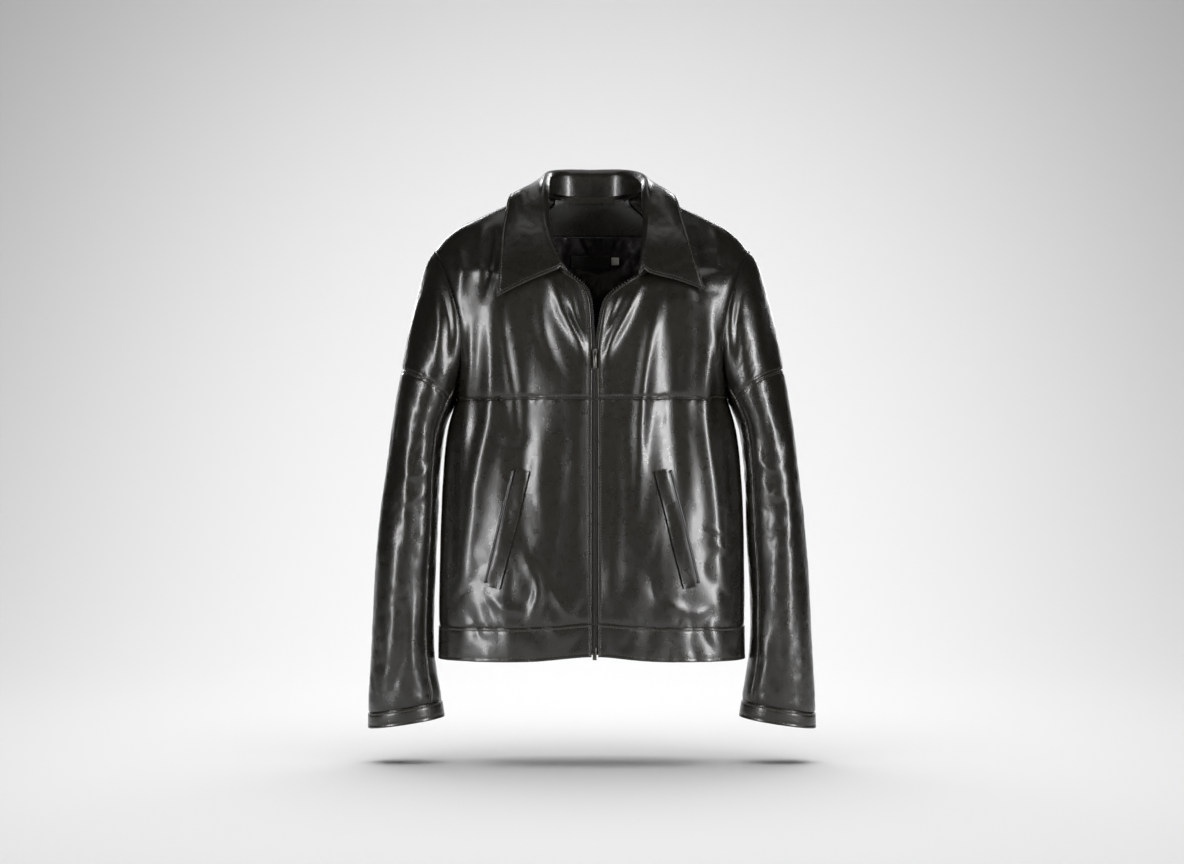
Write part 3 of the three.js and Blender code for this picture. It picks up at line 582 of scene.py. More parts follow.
def shell(
    name, grid, sense, thickness, material,
    closed=False, rolled=ALL_EDGES, pressed=(), stitched=None, radius=None,
):
    """A solid piece with this outer face, and its sewn lines. rolled edges turn under, pressed
    ones are drawn down into their seam, and stitched ones have a sewn groove at each given
    distance in. A closed piece goes all the way round, so it has no u edges."""
    rows, columns = grid.shape[:2]
    out = grid_normals(grid, sense, closed)
    gaps = edge_gaps(grid, closed)
    radius = radius or min(thickness * 0.7, 1.4)
    sink = np.zeros((rows, columns))
    for edge in rolled:
        d = clamp(radius - gaps[edge], 0, radius)
        sink = np.maximum(sink, radius - np.sqrt(np.maximum(radius**2 - d**2, 0)))
    for edge in pressed:
        pull = 1 + 0.9 * noise(grid / 7, 83)
        sink += 0.9 * pull * np.exp(-((gaps[edge] / 5.5) ** 2))
        sink += 0.7 * np.exp(-((gaps[edge] / 1.3) ** 2))
    for edge, places in (stitched or {}).items():
        for place in places:
            sink += 0.45 * np.exp(-(((gaps[edge] - place) / 1.1) ** 2))
    outer = grid - out * sink[..., None]
    inner = grid - out * thickness
    edge = np.minimum.reduce([np.full(sink.shape, FAR), *(gaps[e] for e in rolled)])
    wear = np.exp(-((edge / 1.6) ** 2))
    base = rows * columns
    n = columns if closed else columns - 1
    i, j = np.meshgrid(np.arange(n), np.arange(rows - 1))
    a, b = j * columns + i, j * columns + (i + 1) % columns
    quads = np.stack([a, b, b + columns, a + columns], -1).reshape(-1, 4)
    if sense < 0:
        quads = quads[:, ::-1]
    faces = [quads, quads[:, ::-1] + base]

    def rim(line):
        strip = np.stack([line[:-1], line[1:], line[1:] + base, line[:-1] + base], -1)
        faces.append(strip if sense < 0 else strip[:, ::-1])

    ends = np.arange(n + 1) % columns
    rim(ends)
    rim(((rows - 1) * columns + ends)[::-1])
    if not closed:
        down = np.arange(rows) * columns
        rim(down[::-1])
        rim(down + columns - 1)
    vertices = np.concatenate([outer.reshape(-1, 3), inner.reshape(-1, 3)])
    worn = np.concatenate([wear.ravel(), wear.ravel() * 0.3])
    piece = new_object(name, vertices, np.concatenate(faces).tolist(), material, worn)
    sewn_places = [(edge, place) for edge, places in (stitched or {}).items() for place in places]
    return piece, [sewn_line(outer, out, gaps, edge, place, closed) for edge, place in sewn_places]


def sewn_line(grid, out, gaps, edge, place, closed):
    """The line at a distance in from an edge, as places and normals."""
    gap = gaps[edge]
    lines = [(gap[:, k], grid[:, k], out[:, k]) for k in range(grid.shape[1])]
    if edge[0] == "u":
        lines = [(gap[k], grid[k], out[k]) for k in range(grid.shape[0])]
    found = []
    for d, p, n in lines:
        order = np.argsort(d)
        found.append([np.interp(place, d[order], q[order, axis]) for q in (p, n) for axis in range(3)])
    found = np.array(found)
    if closed:
        found = np.concatenate([found, found[:1]])
    return found[:, :3], unit(found[:, 3:])


def rings_faces(rings, sides):
    """The faces of a closed bar whose corners go round it ring by ring."""
    faces = []
    for r, k in product(range(rings - 1), range(sides)):
        a, b = r * sides + k, r * sides + (k + 1) % sides
        faces.append([a, b, b + sides, a + sides])
    faces.append(list(range(sides))[::-1])
    faces.append([(rings - 1) * sides + k for k in range(sides)])
    return faces


def tube(path, out, radius, sides=8):
    """The corners and faces of a round seam allowance along a line."""
    along = unit(np.gradient(path, axis=0))
    across = unit(np.cross(along, out))
    up = np.cross(across, along)
    turn = np.linspace(0, 2 * np.pi, sides, endpoint=False)
    ring = across[:, None] * np.cos(turn)[:, None] + up[:, None] * np.sin(turn)[:, None]
    return list((path[:, None] + ring * radius).reshape(-1, 3)), rings_faces(len(path), sides)


def allowance(surface, us, vs, radius=1.3, depth=1.9):
    """The turned-in edges of a seam, which fill it from behind."""
    u, v = np.broadcast_arrays(np.asarray(us, float), np.asarray(vs, float))
    _, out = surface.flat(u, v)
    return tube(surface.at(u, v, -depth), out, radius)


STITCH = 3.0
STITCH_PITCH = 4.0
THREAD = 0.42  # half its width
STITCH_SIDES = 6
# Along a stitch: its place as a share of the length, its girth, and how far it stands up.
STITCH_RINGS = [(-0.5, 0.35, -0.25), (-0.32, 1, 0.12), (0.32, 1, 0.12), (0.5, 0.35, -0.25)]


def stitches(name, lines, material):
    """Separate stitches along sewn lines, each a small rounded bar that dips in at its ends."""
    turn = np.linspace(0, 2 * np.pi, STITCH_SIDES, endpoint=False)
    bar = rings_faces(len(STITCH_RINGS), STITCH_SIDES)
    parts = []
    for path, out in lines:
        length = np.concatenate([[0], np.linalg.norm(np.diff(path, axis=0), axis=1).cumsum()])

        def on_line(values, place):
            return np.array([np.interp(place, length, values[:, axis]) for axis in range(3)])

        count = int(length[-1] / STITCH_PITCH)
        for middle in (np.arange(count) + 0.5) * length[-1] / max(count, 1):
            here = on_line(path, middle)
            up = unit(on_line(out, middle))
            along = unit(on_line(path, middle + 1) - here)
            across = np.cross(along, up)
            corners = []
            for share, girth, lift in STITCH_RINGS:
                centre = here + along * share * STITCH + up * lift
                for angle in turn:
                    corners.append(centre + (across * np.cos(angle) + up * np.sin(angle)) * THREAD * girth)
            parts.append((corners, bar))
    return joined(name, parts, material)


def joined(name, parts, material):
    """One object of separate solids, each given by its corners and faces."""
    vertices, faces = [], []
    for v, f in parts:
        faces += [[k + len(vertices) for k in face] for face in f]
        vertices += v
    return new_object(name, vertices, faces, material)


# Materials


def colour(hex_value):
    """An sRGB hex value as linear red, green, blue and alpha."""
    parts = [int(hex_value[k : k + 2], 16) / 255 for k in (1, 3, 5)]
    return [c / 12.92 if c <= 0.04045 else ((c + 0.055) / 1.055) ** 2.4 for c in parts] + [1.0]


def node(tree, kind, inputs=None, **settings):
    """Adds a node with its settings. An input is a value, a socket, or a node for its first output."""
    made = tree.nodes.new(f"ShaderNode{kind}")
    for key, value in settings.items():
        setattr(made, key, value)
    for key, value in (inputs or {}).items():
        if isinstance(value, bpy.types.Node):
            value = next(socket for socket in value.outputs if socket.enabled)
        if isinstance(value, bpy.types.NodeSocket):
            tree.links.new(value, made.inputs[key])
        else:
            made.inputs[key].default_value = value
    return made


def new_material(name):
    """A material with an empty tree, and the place on the piece that its patterns follow."""
    material = bpy.data.materials.new(name)
    material.use_nodes = True
    tree = material.node_tree
    tree.nodes.clear()
    return material, tree, node(tree, "TexCoord").outputs["Object"]


def surface_of(tree, inputs):
    node(tree, "OutputMaterial", {"Surface": node(tree, "BsdfPrincipled", inputs)})


def cell_scale(mm):
    return 1 / (mm * MM)


BARS_PER_CELL = 6.3  # a band texture draws about this many bars across one cell


def polished_cowhide():
    """Full-grain cowhide, dyed near black with an olive brown under it and glazed to a shine. The
    glaze gives a clear reflection that the grain breaks into speckles. Real grain is about 0.8 mm
    across, and is drawn at 2.2 mm so that it shows."""
    material, tree, place = new_material("polished_cowhide")
    cells = node(tree, "TexVoronoi", {"Vector": place, "Scale": cell_scale(2.2)},
                 feature="DISTANCE_TO_EDGE")
    grain = node(tree, "MapRange", {"Value": cells, "From Max": 0.3}, interpolation_type="SMOOTHSTEP")
    pores = node(tree, "TexNoise", {"Vector": place, "Scale": cell_scale(1.6), "Detail": 1.0})
    patches = node(tree, "TexNoise", {"Vector": place, "Scale": cell_scale(45), "Detail": 4.0})
    rub = node(tree, "TexNoise", {"Vector": place, "Scale": cell_scale(9), "Detail": 5.0, "Roughness": 0.7})
    wear = node(tree, "Attribute", attribute_name="wear")
    dye = node(tree, "Mix", {"Factor": patches, "A": colour("#0c0b08"), "B": colour("#16150f")},
               data_type="RGBA")
    worn = node(tree, "Math", {0: wear.outputs["Fac"], 1: rub}, operation="MULTIPLY")
    tint = node(tree, "Mix", {"Factor": worn, "A": dye, "B": colour("#211f18")}, data_type="RGBA")
    gloss = node(tree, "MapRange", {"Value": rub, "From Min": 0.3, "From Max": 0.7,
                                    "To Min": 0.25, "To Max": 0.34})
    low = node(tree, "Bump", {"Height": grain, "Strength": 0.35, "Distance": 0.2 * MM})
    fine = node(tree, "Bump", {"Height": pores, "Strength": 0.28, "Distance": 0.4 * MM, "Normal": low})
    surface_of(tree, {
        "Base Color": tint,
        "Roughness": gloss,
        "IOR": 1.52,
        "Coat Weight": 0.45,
        "Coat Roughness": 0.2,
        "Coat IOR": 1.5,
        "Normal": fine,
    })
    return material


def purple_black_satin():
    """Woven viscose satin, near black with a purple cast. Its floats give a soft sheen across the
    weave, and a small woven figure shows as spots of a duller black."""
    material, tree, place = new_material("purple_black_satin")
    figure = node(tree, "TexVoronoi", {"Vector": place, "Scale": cell_scale(9)})
    spot = node(tree, "MapRange", {"Value": figure, "From Min": 0.22, "From Max": 0.3})
    yarn = node(tree, "TexWave", {"Vector": place, "Scale": cell_scale(BARS_PER_CELL), "Distortion": 0.4},
                bands_direction="DIAGONAL")
    tone = node(tree, "Mix", {"Factor": spot, "A": colour("#1d161d"), "B": colour("#0f0b10")},
                data_type="RGBA")
    weave = node(tree, "Bump", {"Height": yarn, "Strength": 0.15, "Distance": 0.15 * MM})
    surface_of(tree, {
        "Base Color": tone,
        "Roughness": 0.36,
        "IOR": 1.5,
        "Sheen Weight": 0.2,
        "Sheen Roughness": 0.4,
        "Normal": weave,
    })
    return material


def woven_tape(name, first, crest_painted_highlight, pitch, roughness):
    """Woven polyester, with ribs one yarn wide in its bump, and a painted highlight: the crest of each rib
    is painted lighter, so that the ribs show as fine bars of light.
    """
    material, tree, place = new_material(name)
    ribs = node(tree, "TexWave", {"Vector": place, "Scale": cell_scale(pitch * BARS_PER_CELL),
                                  "Distortion": 1.0}, bands_direction="Z")
    # Painted highlight: the lighter colour lies on the crests of the ribs, as if they caught the light.
    tone = node(tree, "Mix", {"Factor": ribs, "A": colour(first), "B": colour(crest_painted_highlight)}, data_type="RGBA")
    bump = node(tree, "Bump", {"Height": ribs, "Strength": 0.4, "Distance": 0.2 * MM})
    surface_of(tree, {"Base Color": tone, "Roughness": roughness, "IOR": 1.5, "Normal": bump})
    return material


def moulded_nylon():
    """Injection-moulded nylon teeth, black, with a faint satin skin from the mould."""
    material, tree, place = new_material("moulded_nylon")
    haze = node(tree, "TexNoise", {"Vector": place, "Scale": cell_scale(3), "Detail": 3.0})
    gloss = node(tree, "MapRange", {"Value": haze, "To Min": 0.3, "To Max": 0.5})
    surface_of(tree, {"Base Color": colour("#191813"), "Roughness": gloss, "IOR": 1.53})
    return material


def worn_gunmetal():
    """Zinc alloy plated in gunmetal, tumbled smooth, with brighter metal where fingers rub it."""
    material, tree, place = new_material("worn_gunmetal")
    rub = node(tree, "TexNoise", {"Vector": place, "Scale": cell_scale(2.5), "Detail": 6.0,
                                  "Roughness": 0.65})
    tone = node(tree, "Mix", {"Factor": rub, "A": colour("#33322f"), "B": colour("#76756f")},
                data_type="RGBA")
    gloss = node(tree, "MapRange", {"Value": rub, "To Min": 0.2, "To Max": 0.42})
    surface_of(tree, {"Base Color": tone, "Metallic": 1.0, "Roughness": gloss})
    return material


def backdrop_with_painted_vignette():
    """Seamless background paper, matt, near white in the middle, with painted shade that darkens it to grey
    towards its edges in place of the falloff of the studio light. It fades into the pale room at its front
    and its sides, so that no edge shows."""
    material, tree, whole = new_material("backdrop_paper_with_painted_vignette")
    place = node(tree, "SeparateXYZ", {0: whole})
    across = node(tree, "Math", {0: place.outputs["X"]}, operation="ABSOLUTE")
    sides = node(tree, "MapRange", {"Value": across, "From Min": 1.55, "From Max": 2.3,
                                    "To Min": 1.0, "To Max": 0.0}, interpolation_type="SMOOTHSTEP")
    ahead = node(tree, "MapRange", {"Value": place.outputs["Y"], "From Min": -1.7, "From Max": -0.85},
                 interpolation_type="SMOOTHSTEP")
    there = node(tree, "Math", {0: sides, 1: ahead}, operation="MULTIPLY")
    level = node(tree, "Math", {0: place.outputs["Z"], 1: 0.3}, operation="ADD")
    from_middle = node(tree, "CombineXYZ", {"X": across, "Z": level})
    reach = node(tree, "VectorMath", {0: from_middle}, operation="LENGTH")
    # Painted shade: the paper darkens from the middle outwards, standing in for the light's falloff across
    # it.
    painted_vignette_shade = node(tree, "MapRange", {"Value": reach, "From Min": 0.35, "From Max": 2.2},
                 interpolation_type="SMOOTHSTEP")
    tone = node(tree, "Mix", {"Factor": painted_vignette_shade, "A": colour("#f6f6f6"), "B": colour("#c8c8c9")},
                data_type="RGBA")
    surface_of(tree, {
        "Base Color": tone,
        "Roughness": 0.95,
        "IOR": 1.45,
        "Specular IOR Level": 0.1,
        "Alpha": there,
    })
    return material


LEATHER = polished_cowhide()
SATIN = purple_black_satin()
TAPE = woven_tape("herringbone_zip_tape", "#0c0c0c", "#1c1b19", 0.8, 0.8)
THREAD_BLACK = woven_tape("bonded_polyester_thread", "#2b2922", "#4c4940", 0.5, 0.4)
LABEL = woven_tape("damask_label", "#040404", "#0b0b0b", 0.5, 0.5)
TAG = woven_tape("printed_satin_tag", "#cfccc4", "#efece4", 0.6, 0.6)
NYLON = moulded_nylon()
METAL = worn_gunmetal()

# Assembly

sewn = {"torso": [], "left_sleeve": [], "right_sleeve": []}


def fit(piece, body, slot, *nodes):
    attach(piece, body)
    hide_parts(*nodes)


def leather(name, grid, sense, thickness, *nodes, **edges):
    """A piece of leather on the torso, whose sewn lines are kept for the topstitching."""
    piece, lines = shell(f"{name}_leather", grid, sense, thickness, LEATHER, **edges)
    fit(piece, "torso", "leather", *nodes)
    sewn["torso"] += lines


def satin(name, grid, sense, *nodes):
    piece, _ = shell(f"{name}_satin", grid, sense, CLOTH, SATIN, rolled=())
    fit(piece, "torso", "lining", *nodes)


def grid_of(surface, us, vs, lift=0.0):
    u, v = np.meshgrid(us, vs)
    return surface.at(u, v, lift)


EDGE = FRONT_GAP / HALF_SHOULDER
HALF_GIRTH = HALF_SHOULDER * 1.15  # from the middle round to the side seam
YOKE_LOW = YOKE_Z + SEAM_GAP / 2
PANEL = (BAND_Z + SEAM_GAP / 2, YOKE_Z - SEAM_GAP / 2)
HEM = (HEM_Z, BAND_Z - SEAM_GAP / 2)
BAND_PROUD = 0.6 * (BAND - HIDE)
BACK_NECK_TOP = (-14, -3)  # of the back yoke, in the middle and at its points
NECK_CURVE = 0.14  # the share of the half shoulder that the yoke's top rises over


def front_pieces(name, side):
    us = spread(EDGE, 1, HALF_GIRTH)
    parts = [
        ("front_yoke", spread(YOKE_LOW, -2, 296), HIDE, 0, ("v0", "u1"), {"v0": [3.2], "u0": [4]}),
        ("front_panel", spread(*PANEL, 316), HIDE, 0, ("v0", "v1", "u1"), {"u0": [4]}),
        ("waistband", spread(*HEM, 46), BAND, BAND_PROUD, ("u1",), {"v1": [3.4], "v0": [5], "u0": [4]}),
    ]
    for part, vs, thickness, proud, pressed, stitched in parts:
        node_name = f"{name}_{part}"
        grid = grid_of(FRONTS[side], us, vs, proud)
        leather(node_name, grid, side, thickness, node_name, pressed=pressed, stitched=stitched)


def back_pieces():
    us = spread(-1, 1, 2 * HALF_GIRTH)
    # The yoke's top follows the back of the neck from its middle out to its points.
    neck = mix(*BACK_NECK_TOP, smooth(np.abs(us), 0, NECK_CURVE))
    parts = [
        ("back_yoke", spread(YOKE_LOW, -3, 290), neck, HIDE, 0, ALL_EDGES, {"v0": [3.2]}),
        ("back_panel", spread(*PANEL, 316), PANEL[1], HIDE, 0, ALL_EDGES, {}),
        ("back_waistband", spread(*HEM, 46), HEM[1], BAND, BAND_PROUD, ("u0", "u1"),
         {"v1": [3.4], "v0": [5]}),
    ]
    for part, vs, top, thickness, proud, pressed, stitched in parts:
        u, v = np.meshgrid(us, vs)
        v = mix(vs[0], top, (v - vs[0]) / (vs[-1] - vs[0]))
        leather(part, BACK.at(u, v, proud), -1, thickness, part, pressed=pressed, stitched=stitched)


# Pockets: a folded welt stitched down along its inner side, which stands off the front along its
# outer side, over the dark mouth of the bag, and a piped rim beyond the mouth.
WELT_TOP = (94, -395)
WELT_BOTTOM = (134, -557)
WELT_SLOPE = 0.25
WELT_WIDTH = 17
MOUTH_WIDTH = 5
BAG_SIDES = (0.3, 0.8)  # shares of the front's half width
BAG_ENDS = (-604, -384)
BAG_INSET = 3.6
BAG_DEPTH = 9.6
BAG_ROOM = 7.5  # how far the bag pushes the lining back
WELT_LIFTS = (1.9, 4.4)  # off the front, along its sewn side and its open one


def strip(side, t, offset, lift):
    """A place this share down the welt's line and this far out from it, on the front below."""
    x = mix(WELT_TOP[0], WELT_BOTTOM[0], t) + offset
    z = mix(WELT_TOP[1], WELT_BOTTOM[1], t) + offset * WELT_SLOPE
    middle = ZIP_X * side
    return FRONTS[side].at((x - middle) / (half_width(z) - middle), z, lift)


def pocket(name, side):
    half = WELT_WIDTH / 2
    outer = half + MOUTH_WIDTH
    t, across = np.meshgrid(spread(0, 1, 167, 2.5), spread(-half, half, WELT_WIDTH, 1.5))
    lift = mix(*WELT_LIFTS, smooth(across, -half, half))
    lift = lift + 0.3 * noise(points(t * 18, across / 9, side), 91)
    leather(
        f"{name}_pocket_welt", strip(side, t, across, lift), -side, 1.7, f"{name}_pocket_welt",
        stitched={"v0": [2.2], "u0": [3], "u1": [3]}, radius=0.9,
    )
    t, across = np.meshgrid(np.linspace(0.03, 0.97, 60), np.linspace(half - 5, outer, 5))
    satin(f"{name}_pocket_mouth", strip(side, t, across, 0.9), -side, f"{name}_pocket_bag_front")
    u, v = np.meshgrid(np.linspace(*BAG_SIDES, 30), np.linspace(*BAG_ENDS, 40))
    rise = smooth(np.minimum(u - BAG_SIDES[0], BAG_SIDES[1] - u), 0, 0.1)
    rise = rise * smooth(np.minimum(v - BAG_ENDS[0], BAG_ENDS[1] - v), 0, 30)
    bag = FRONTS[side].at(u, v, -BAG_INSET - BAG_DEPTH * rise)
    satin(f"{name}_pocket_bag", bag, side, f"{name}_pocket_bag_back")
    t, turn = np.meshgrid(np.linspace(0.02, 0.98, 70), np.linspace(0, np.pi, 9))
    rim = strip(side, t, outer + 1.4 * np.cos(turn), 0.3 + 1.5 * np.sin(turn))
    leather(f"{name}_pocket_rim", rim, side, 0.6, rolled=())


# Inside: leather facings behind the zip and round the neck, and the satin lining.


def lining_folds(p, seed):
    return 3.6 * pillows(p, np.array((22, 22, 34)), seed) + 1.4 * pillows(p, np.array((9, 9, 12)), seed + 1)


LINING_INSET = 9.5
LINING_FOOT = HEM_Z + 12
FACING_INSETS = {"front": 5.4, "neck": 4.8}
NECK_FACING_TURN = -17  # above this height the back neck facing runs straight up


def inside(name, side):
    rows = spread(LINING_FOOT, SHOULDER_Z, 560, 6, False)
    facing = grid_of(FRONTS[side], spread(0.05, 0.22, 40, 3), rows, -FACING_INSETS["front"])
    leather(f"{name}_front_facing", facing, side, 1.2, f"{name}_front_facing")
    u, v = np.meshgrid(np.linspace(0.23, 0.93, 60), rows)
    beside = smooth(u, 0.22, BAG_SIDES[0]) * (1 - smooth(u, BAG_SIDES[1], 0.9))
    room = BAG_ROOM * beside * (1 - smooth(v, BAG_ENDS[1], BAG_ENDS[1] + 50))
    grid = FRONTS[side].at(u, v, -LINING_INSET - room)
    grid = grid - grid_normals(grid, side, False) * lining_folds(grid, 101)[..., None]
    satin(f"{name}_front_lining", grid, side, f"{name}_front_lining")


def inside_back():
    u, v = np.meshgrid(np.linspace(-0.92, 0.92, 150), np.linspace(LINING_FOOT, -64, 200))
    grid = BACK.at(u, v, -LINING_INSET)
    grid = grid - grid_normals(grid, -1, False) * lining_folds(grid, 107)[..., None]
    satin("back_lining", grid, -1, "back_lining")
    u, v = np.meshgrid(spread(-0.52, 0.52, 220), spread(-62, -8, 54))
    grid = BACK.at(u, np.minimum(v, NECK_FACING_TURN), -FACING_INSETS["neck"])
    grid[..., 2] += np.maximum(v - NECK_FACING_TURN, 0)
    leather("back_neck_facing", grid, -1, 1.2, "back_neck_facing")


# Sleeves: a cap and an outer sleeve from the back seam round the outside to the front seam, an
# under sleeve between them, a cuff all round, and the lining.
CUFF_V = 0.966
FRONT_SEAM = 0.785
BACK_SEAM = -0.72
TURN_GAP = 0.006
LENGTH_GAP = 0.001


def hang_on_armhole(piece, name, side, slot, *nodes):
    """Hides the piece's parts in the model, and bakes the piece's place into its mesh."""
    if nodes:
        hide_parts(*nodes)
    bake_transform(piece)


def seam_row(u):
    return SLEEVE_SEAM_V - 0.05 * np.sin(np.abs(u) * np.pi / 2) ** 2


def sleeve(name, side):
    surface = SLEEVES[side]
    around = spread(BACK_SEAM + TURN_GAP, FRONT_SEAM - TURN_GAP, 290)
    below = spread(FRONT_SEAM + TURN_GAP, 2 + BACK_SEAM - TURN_GAP, 95)
    u, share = np.meshgrid(around, spread(0, 1, 175))
    cap = surface.at(u, share * (seam_row(u) - LENGTH_GAP))
    u, share = np.meshgrid(around, spread(0, 1, 480))
    outer = surface.at(u, mix(seam_row(u), CUFF_V - LENGTH_GAP, share))
    under = grid_of(surface, below, spread(0, CUFF_V - LENGTH_GAP, 450))
    turn = np.linspace(-1, 1, 180, endpoint=False)
    cuff = grid_of(surface, turn, spread(CUFF_V, 1, 22), 0.6)
    parts = [
        ("sleeve_cap", cap, HIDE, False, ALL_EDGES, {"v1": [3], "u1": [3]}),
        ("outer_sleeve", outer, HIDE, False, ALL_EDGES, {"v0": [3], "u1": [3]}),
        ("under_sleeve", under, HIDE, False, ALL_EDGES, {}),
        ("cuff", cuff, BAND, True, (), {"v0": [3], "v1": [4]}),
    ]
    for part, grid, thickness, closed, pressed, stitched in parts:
        node_name = f"{name}_{part}"
        piece, lines = shell(
            f"{node_name}_leather", grid, side, thickness, LEATHER,
            closed=closed, pressed=pressed, stitched=stitched,
        )
        hang_on_armhole(piece, name, side, "leather", node_name)
        sewn[f"{name}_sleeve"] += lines
    u, v = np.meshgrid(np.linspace(-1, 1, 90, endpoint=False), np.linspace(0.3, 0.95, 90))
    grid = surface.at(u, v, -7.5)
    grid = grid - grid_normals(grid, side, True) * lining_folds(grid, 113)[..., None]
    lining, _ = shell(f"{name}_sleeve_lining_satin", grid, side, CLOTH, SATIN, closed=True, rolled=())
    hang_on_armhole(lining, name, side, "lining", f"{name}_sleeve_lining")


def collar():
    us = spread(-1, 1, 560)
    upper = grid_of(COLLAR, us, spread(0.02, 1, 126, 2.2))
    stitched = {"v1": [4], "u0": [4], "u1": [4]}
    leather("upper_collar", upper, 1, HIDE, "upper_collar", stitched=stitched)
    under = grid_of(COLLAR, us, spread(0.08, 0.995, 120, 4), -HIDE - 0.9)
    leather("under_collar", under, 1, 1.0, "under_collar")


def seams():
    """The seam allowances of the body, and of each sleeve."""
    share = np.linspace(0, 1, 90)
    body = []
    for side in SIDES.values():
        surface = FRONTS[side]
        body.append(allowance(surface, share, YOKE_Z))
        body.append(allowance(surface, share, BAND_Z))
        body.append(allowance(surface, 1, np.linspace(HEM_Z + 3, YOKE_Z, 120)))
        body.append(allowance(surface, 1, np.linspace(YOKE_Z, -3, 160)))
        for piece in (-1, 1):
            line = piece * np.linspace(0, 1, 120)
            path = SLEEVES[side].at(line, np.zeros(120))
            _, out = SLEEVES[side].flat(line, np.full(120, 0.01))
            body.append(tube(path - out * 1.5, out, 1.4))
    for z in (YOKE_Z, BAND_Z):
        body.append(allowance(BACK, np.linspace(-1, 1, 160), z))
    fit(joined("body_seam_allowances", body, LEATHER), "torso", "leather")
    for name, side in SIDES.items():
        surface = SLEEVES[side]
        around = np.linspace(BACK_SEAM, FRONT_SEAM, 120)
        turn = np.linspace(-1, 1, 140)
        down = np.linspace(0, CUFF_V, 160)
        lines = [
            allowance(surface, around, seam_row(around)),
            allowance(surface, turn, CUFF_V),
            allowance(surface, FRONT_SEAM, down),
            allowance(surface, BACK_SEAM, down),
        ]
        piece = joined(f"{name}_sleeve_seam_allowances", lines, LEATHER)
        hang_on_armhole(piece, name, side, "leather")


# Zip


def block(place, size, up=(0, 0, 1), out=(0, -1, 0), bevel=0.3):
    """The corners and faces of a small block with cut corners, about a place."""
    up, out = unit(np.array(up, float)), unit(np.array(out, float))
    across = np.cross(up, out)
    w, d, h = (s / 2 for s in size)
    ring = [
        (-w + bevel, -h), (w - bevel, -h), (w, -h + bevel), (w, h - bevel),
        (w - bevel, h), (-w + bevel, h), (-w, h - bevel), (-w, -h + bevel),
    ]
    face = 1 - bevel / max(w, h)
    vertices = []
    for depth, shrink in ((-d, face), (-d + bevel, 1), (d - bevel, 1), (d, face)):
        vertices += [place + across * x * shrink + up * z * shrink + out * depth for x, z in ring]
    return vertices, rings_faces(4, len(ring))


TOOTH = (3.4, 1.7, 1.3)
TOOTH_PITCH = 2.6
CHAIN_Y = -FRONT_DEPTH + 2.2


def zip_half(name, side):
    rows = spread(HEM_Z + 3, -120, 540, 4, False)
    us = np.linspace(0.004, 0.06, 6)
    grid = grid_of(FRONTS[side], us, rows, -3.4)
    tape, _ = shell(f"{name}_zip_tape_woven", grid, side, 0.7, TAPE, rolled=())
    fit(tape, "torso", "zip_tape", f"{name}_zip_tape")
    teeth = []
    start = HEM_Z + HEM_LIFT + 18 + (TOOTH_PITCH / 2 if side > 0 else 0)
    for z in np.arange(start, ZIP_TOP - 6, TOOTH_PITCH):
        teeth.append(block(np.array((ZIP_X + side * 1.5, CHAIN_Y, z)), TOOTH))
    edge = edge_line(side, -1)
    for z in np.arange(ZIP_TOP + 8, -122, TOOTH_PITCH):
        here, above = edge(np.array(z)), edge(np.array(z + 1))
        up = unit(above - here)
        teeth.append(block(here + np.array((side * 1.2, 2.0, 0)), (3.0, 1.6, 1.3), up))
    chain = joined(f"{name}_zip_chain_teeth", teeth, NYLON)
    fit(chain, "torso", "zip_teeth", f"{name}_zip_chain")


def slider_and_pull():
    low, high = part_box("zip_slider")
    front = low.y / MM
    z = (low.z + high.z) / 2 / MM
    x = ZIP_X
    body = [
        block(np.array((x, front + 5.1, z + 1)), (6.2, 2.6, 8.6), bevel=0.9),
        block(np.array((x, front + 5.1, z - 3.4)), (4.6, 2.4, 4), bevel=0.9),
        block(np.array((x, front + 9.6, z)), (5, 1.6, 9), bevel=0.5),
        block(np.array((x, front + 1.2, z + 2.9)), (1.8, 1.0, 5), bevel=0.3),
        block(np.array((x, front + 2.7, z + 5)), (1.8, 3.6, 1.0), bevel=0.3),
        block(np.array((x, front + 2.7, z + 0.9)), (1.8, 3.6, 1.0), bevel=0.3),
    ]
    fit(joined("zip_slider_cast", body, METAL), "zip_slider", "zip_metal", "zip_slider")
    low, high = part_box("zip_pull")
    top, bottom = high.z / MM, low.z / MM
    y = (low.y + high.y) / 2 / MM
    parts = [
        block(np.array((x - 1.9, y, top - 4)), (1.2, 1.1, 7.4), bevel=0.3),
        block(np.array((x + 1.9, y, top - 4)), (1.2, 1.1, 7.4), bevel=0.3),
        block(np.array((x, y, top - 0.5)), (4.2, 0.7, 0.7), bevel=0.2),
        block(np.array((x, y, (top - 7 + bottom) / 2)), (5, 1.1, top - 7 - bottom), bevel=1.1),
    ]
    fit(joined("zip_pull_cast", parts, METAL), "zip_pull", "zip_metal", "zip_pull")


def metal_ends():
    for name in ("zip_box", "zip_pin", "right_zip_top_stop", "left_zip_top_stop"):
        low, high = (np.array(corner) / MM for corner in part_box(name))
        piece = joined(f"{name}_pressed", [block((low + high) / 2, high - low, bevel=0.35)], METAL)
        piece.modifiers.new("edges", "BEVEL").width = 0.1 * MM
        fit(piece, "torso", "zip_metal", name)


def labels():
    for name, material, slot, lift in (("woven_label", LABEL, "label", 2.6), ("size_tag", TAG, "tag", 2.9)):
        low, high = (np.array(corner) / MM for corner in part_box(name))
        x, z = np.meshgrid(np.linspace(low[0], high[0], 30), np.linspace(low[2], high[2], 12))
        y = low[1] - lift + 0.7 * noise(points(x / 16, 0, z / 16), 131)
        piece, _ = shell(f"{name}_satin", points(x, y, z), 1, 0.4, material, rolled=())
        fit(piece, "torso", slot, name)


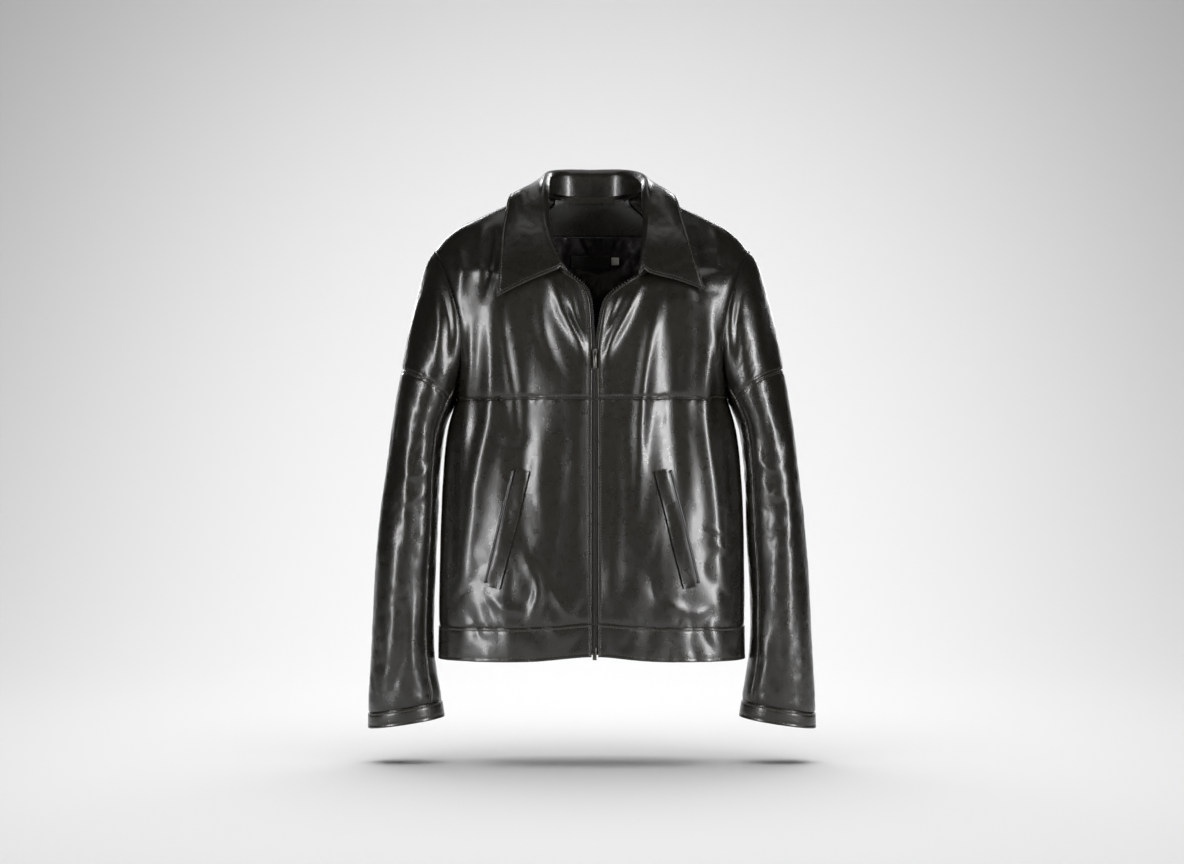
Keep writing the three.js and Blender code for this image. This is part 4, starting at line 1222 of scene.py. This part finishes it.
for name, side in SIDES.items():
    front_pieces(name, side)
    pocket(name, side)
    inside(name, side)
    sleeve(name, side)
    zip_half(name, side)
back_pieces()
inside_back()
collar()
seams()
slider_and_pull()
metal_ends()
labels()

topstitching = stitches("body_topstitching", sewn["torso"], THREAD_BLACK)
fit(topstitching, "torso", "leather")
for name, side in SIDES.items():
    sleeve_stitching = stitches(f"{name}_sleeve_topstitching", sewn[f"{name}_sleeve"], THREAD_BLACK)
    hang_on_armhole(sleeve_stitching, name, side, "leather")

# Studio, in metres: a sweep of pale paper with a light of its own, and for the jacket two tall
# soft lights in front, a weak warm one between them, two behind and a broad one overhead.
FLOOR_Z = -0.805


def paper_sweep():
    """Paper that runs back along the floor, round a wide bend and up the wall."""
    radius, front, back, top, half = 1.6, -1.8, 2.6, 6, 3
    outline = [(front, FLOOR_Z)]
    for turn in np.linspace(0, np.pi / 2, 24):
        outline.append((back - radius + radius * np.sin(turn), FLOOR_Z + radius - radius * np.cos(turn)))
    outline.append((back, top))
    vertices = [(x / MM, y / MM, z / MM) for y, z in outline for x in (-half, half)]
    faces = [[2 * k, 2 * k + 1, 2 * k + 3, 2 * k + 2] for k in range(len(outline) - 1)]
    return new_object("paper_sweep", vertices, faces, backdrop_with_painted_vignette())


paper = paper_sweep()

# The jacket's lights are kept off the paper, and the paper's off the jacket.
only_jacket = bpy.data.collections.new("all_but_the_paper")
only_jacket.objects.link(paper)
only_jacket.collection_objects[0].light_linking.link_state = "EXCLUDE"
only_paper = bpy.data.collections.new("paper_alone")
only_paper.objects.link(paper)


def soft_light(name, place, aim, size, power, receivers, tint="#ffffff"):
    data = bpy.data.lights.new(name, "AREA")
    data.shape = "RECTANGLE"
    data.size, data.size_y = size
    data.energy = power
    data.color = colour(tint)[:3]
    light = bpy.data.objects.new(name, data)
    light.location = place
    direction = np.array(aim, float) - np.array(place, float)
    yaw = np.arctan2(direction[1], direction[0]) - np.pi / 2
    pitch = np.arctan2(direction[2], np.hypot(direction[0], direction[1])) + np.pi / 2
    light.rotation_euler = (pitch, 0, yaw)
    light.visible_camera = False
    light.light_linking.receiver_collection = receivers
    bpy.context.scene.collection.objects.link(light)


MIDDLE = (0, 0, -0.35)
soft_light("left_strip", (-2.15, -2.4, 0.0), MIDDLE, (0.45, 2.6), 80, only_jacket)
soft_light("right_strip", (2.15, -2.4, 0.0), MIDDLE, (0.5, 2.6), 100, only_jacket)
soft_light("front_fill", (0, -4.6, 0.3), MIDDLE, (1.9, 2.0), 3.0, only_jacket, "#fff1d8")
soft_light("back_left_strip", (-1.1, 2.2, 0.7), MIDDLE, (0.4, 2.0), 22, only_jacket)
soft_light("back_right_strip", (1.1, 2.2, 0.7), MIDDLE, (0.4, 2.0), 20, only_jacket)
soft_light("overhead", (0, 0.4, 2.4), (0, 0.4, -0.8), (3.0, 1.6), 14, only_jacket)
soft_light("paper_wash", (0, 1.3, 2.8), (0, 1.3, -0.8), (6.5, 4.0), 255, only_paper)

# The room beyond the paper looks pale, but is too dim to light the jacket or show in its shine.
world = bpy.data.worlds.new("studio")
world.use_nodes = True
room = world.node_tree
room.nodes.clear()
seen = node(room, "LightPath").outputs["Is Camera Ray"]
dim = node(room, "Background", {"Color": colour("#f2f2f4"), "Strength": 0.03})
pale = node(room, "Background", {"Color": colour("#e4e4e6"), "Strength": 0.9})
node(room, "OutputWorld", {"Surface": node(room, "MixShader", {0: seen, 1: dim, 2: pale})})
bpy.context.scene.world = world
bpy.context.scene.view_settings.view_transform = "Standard"
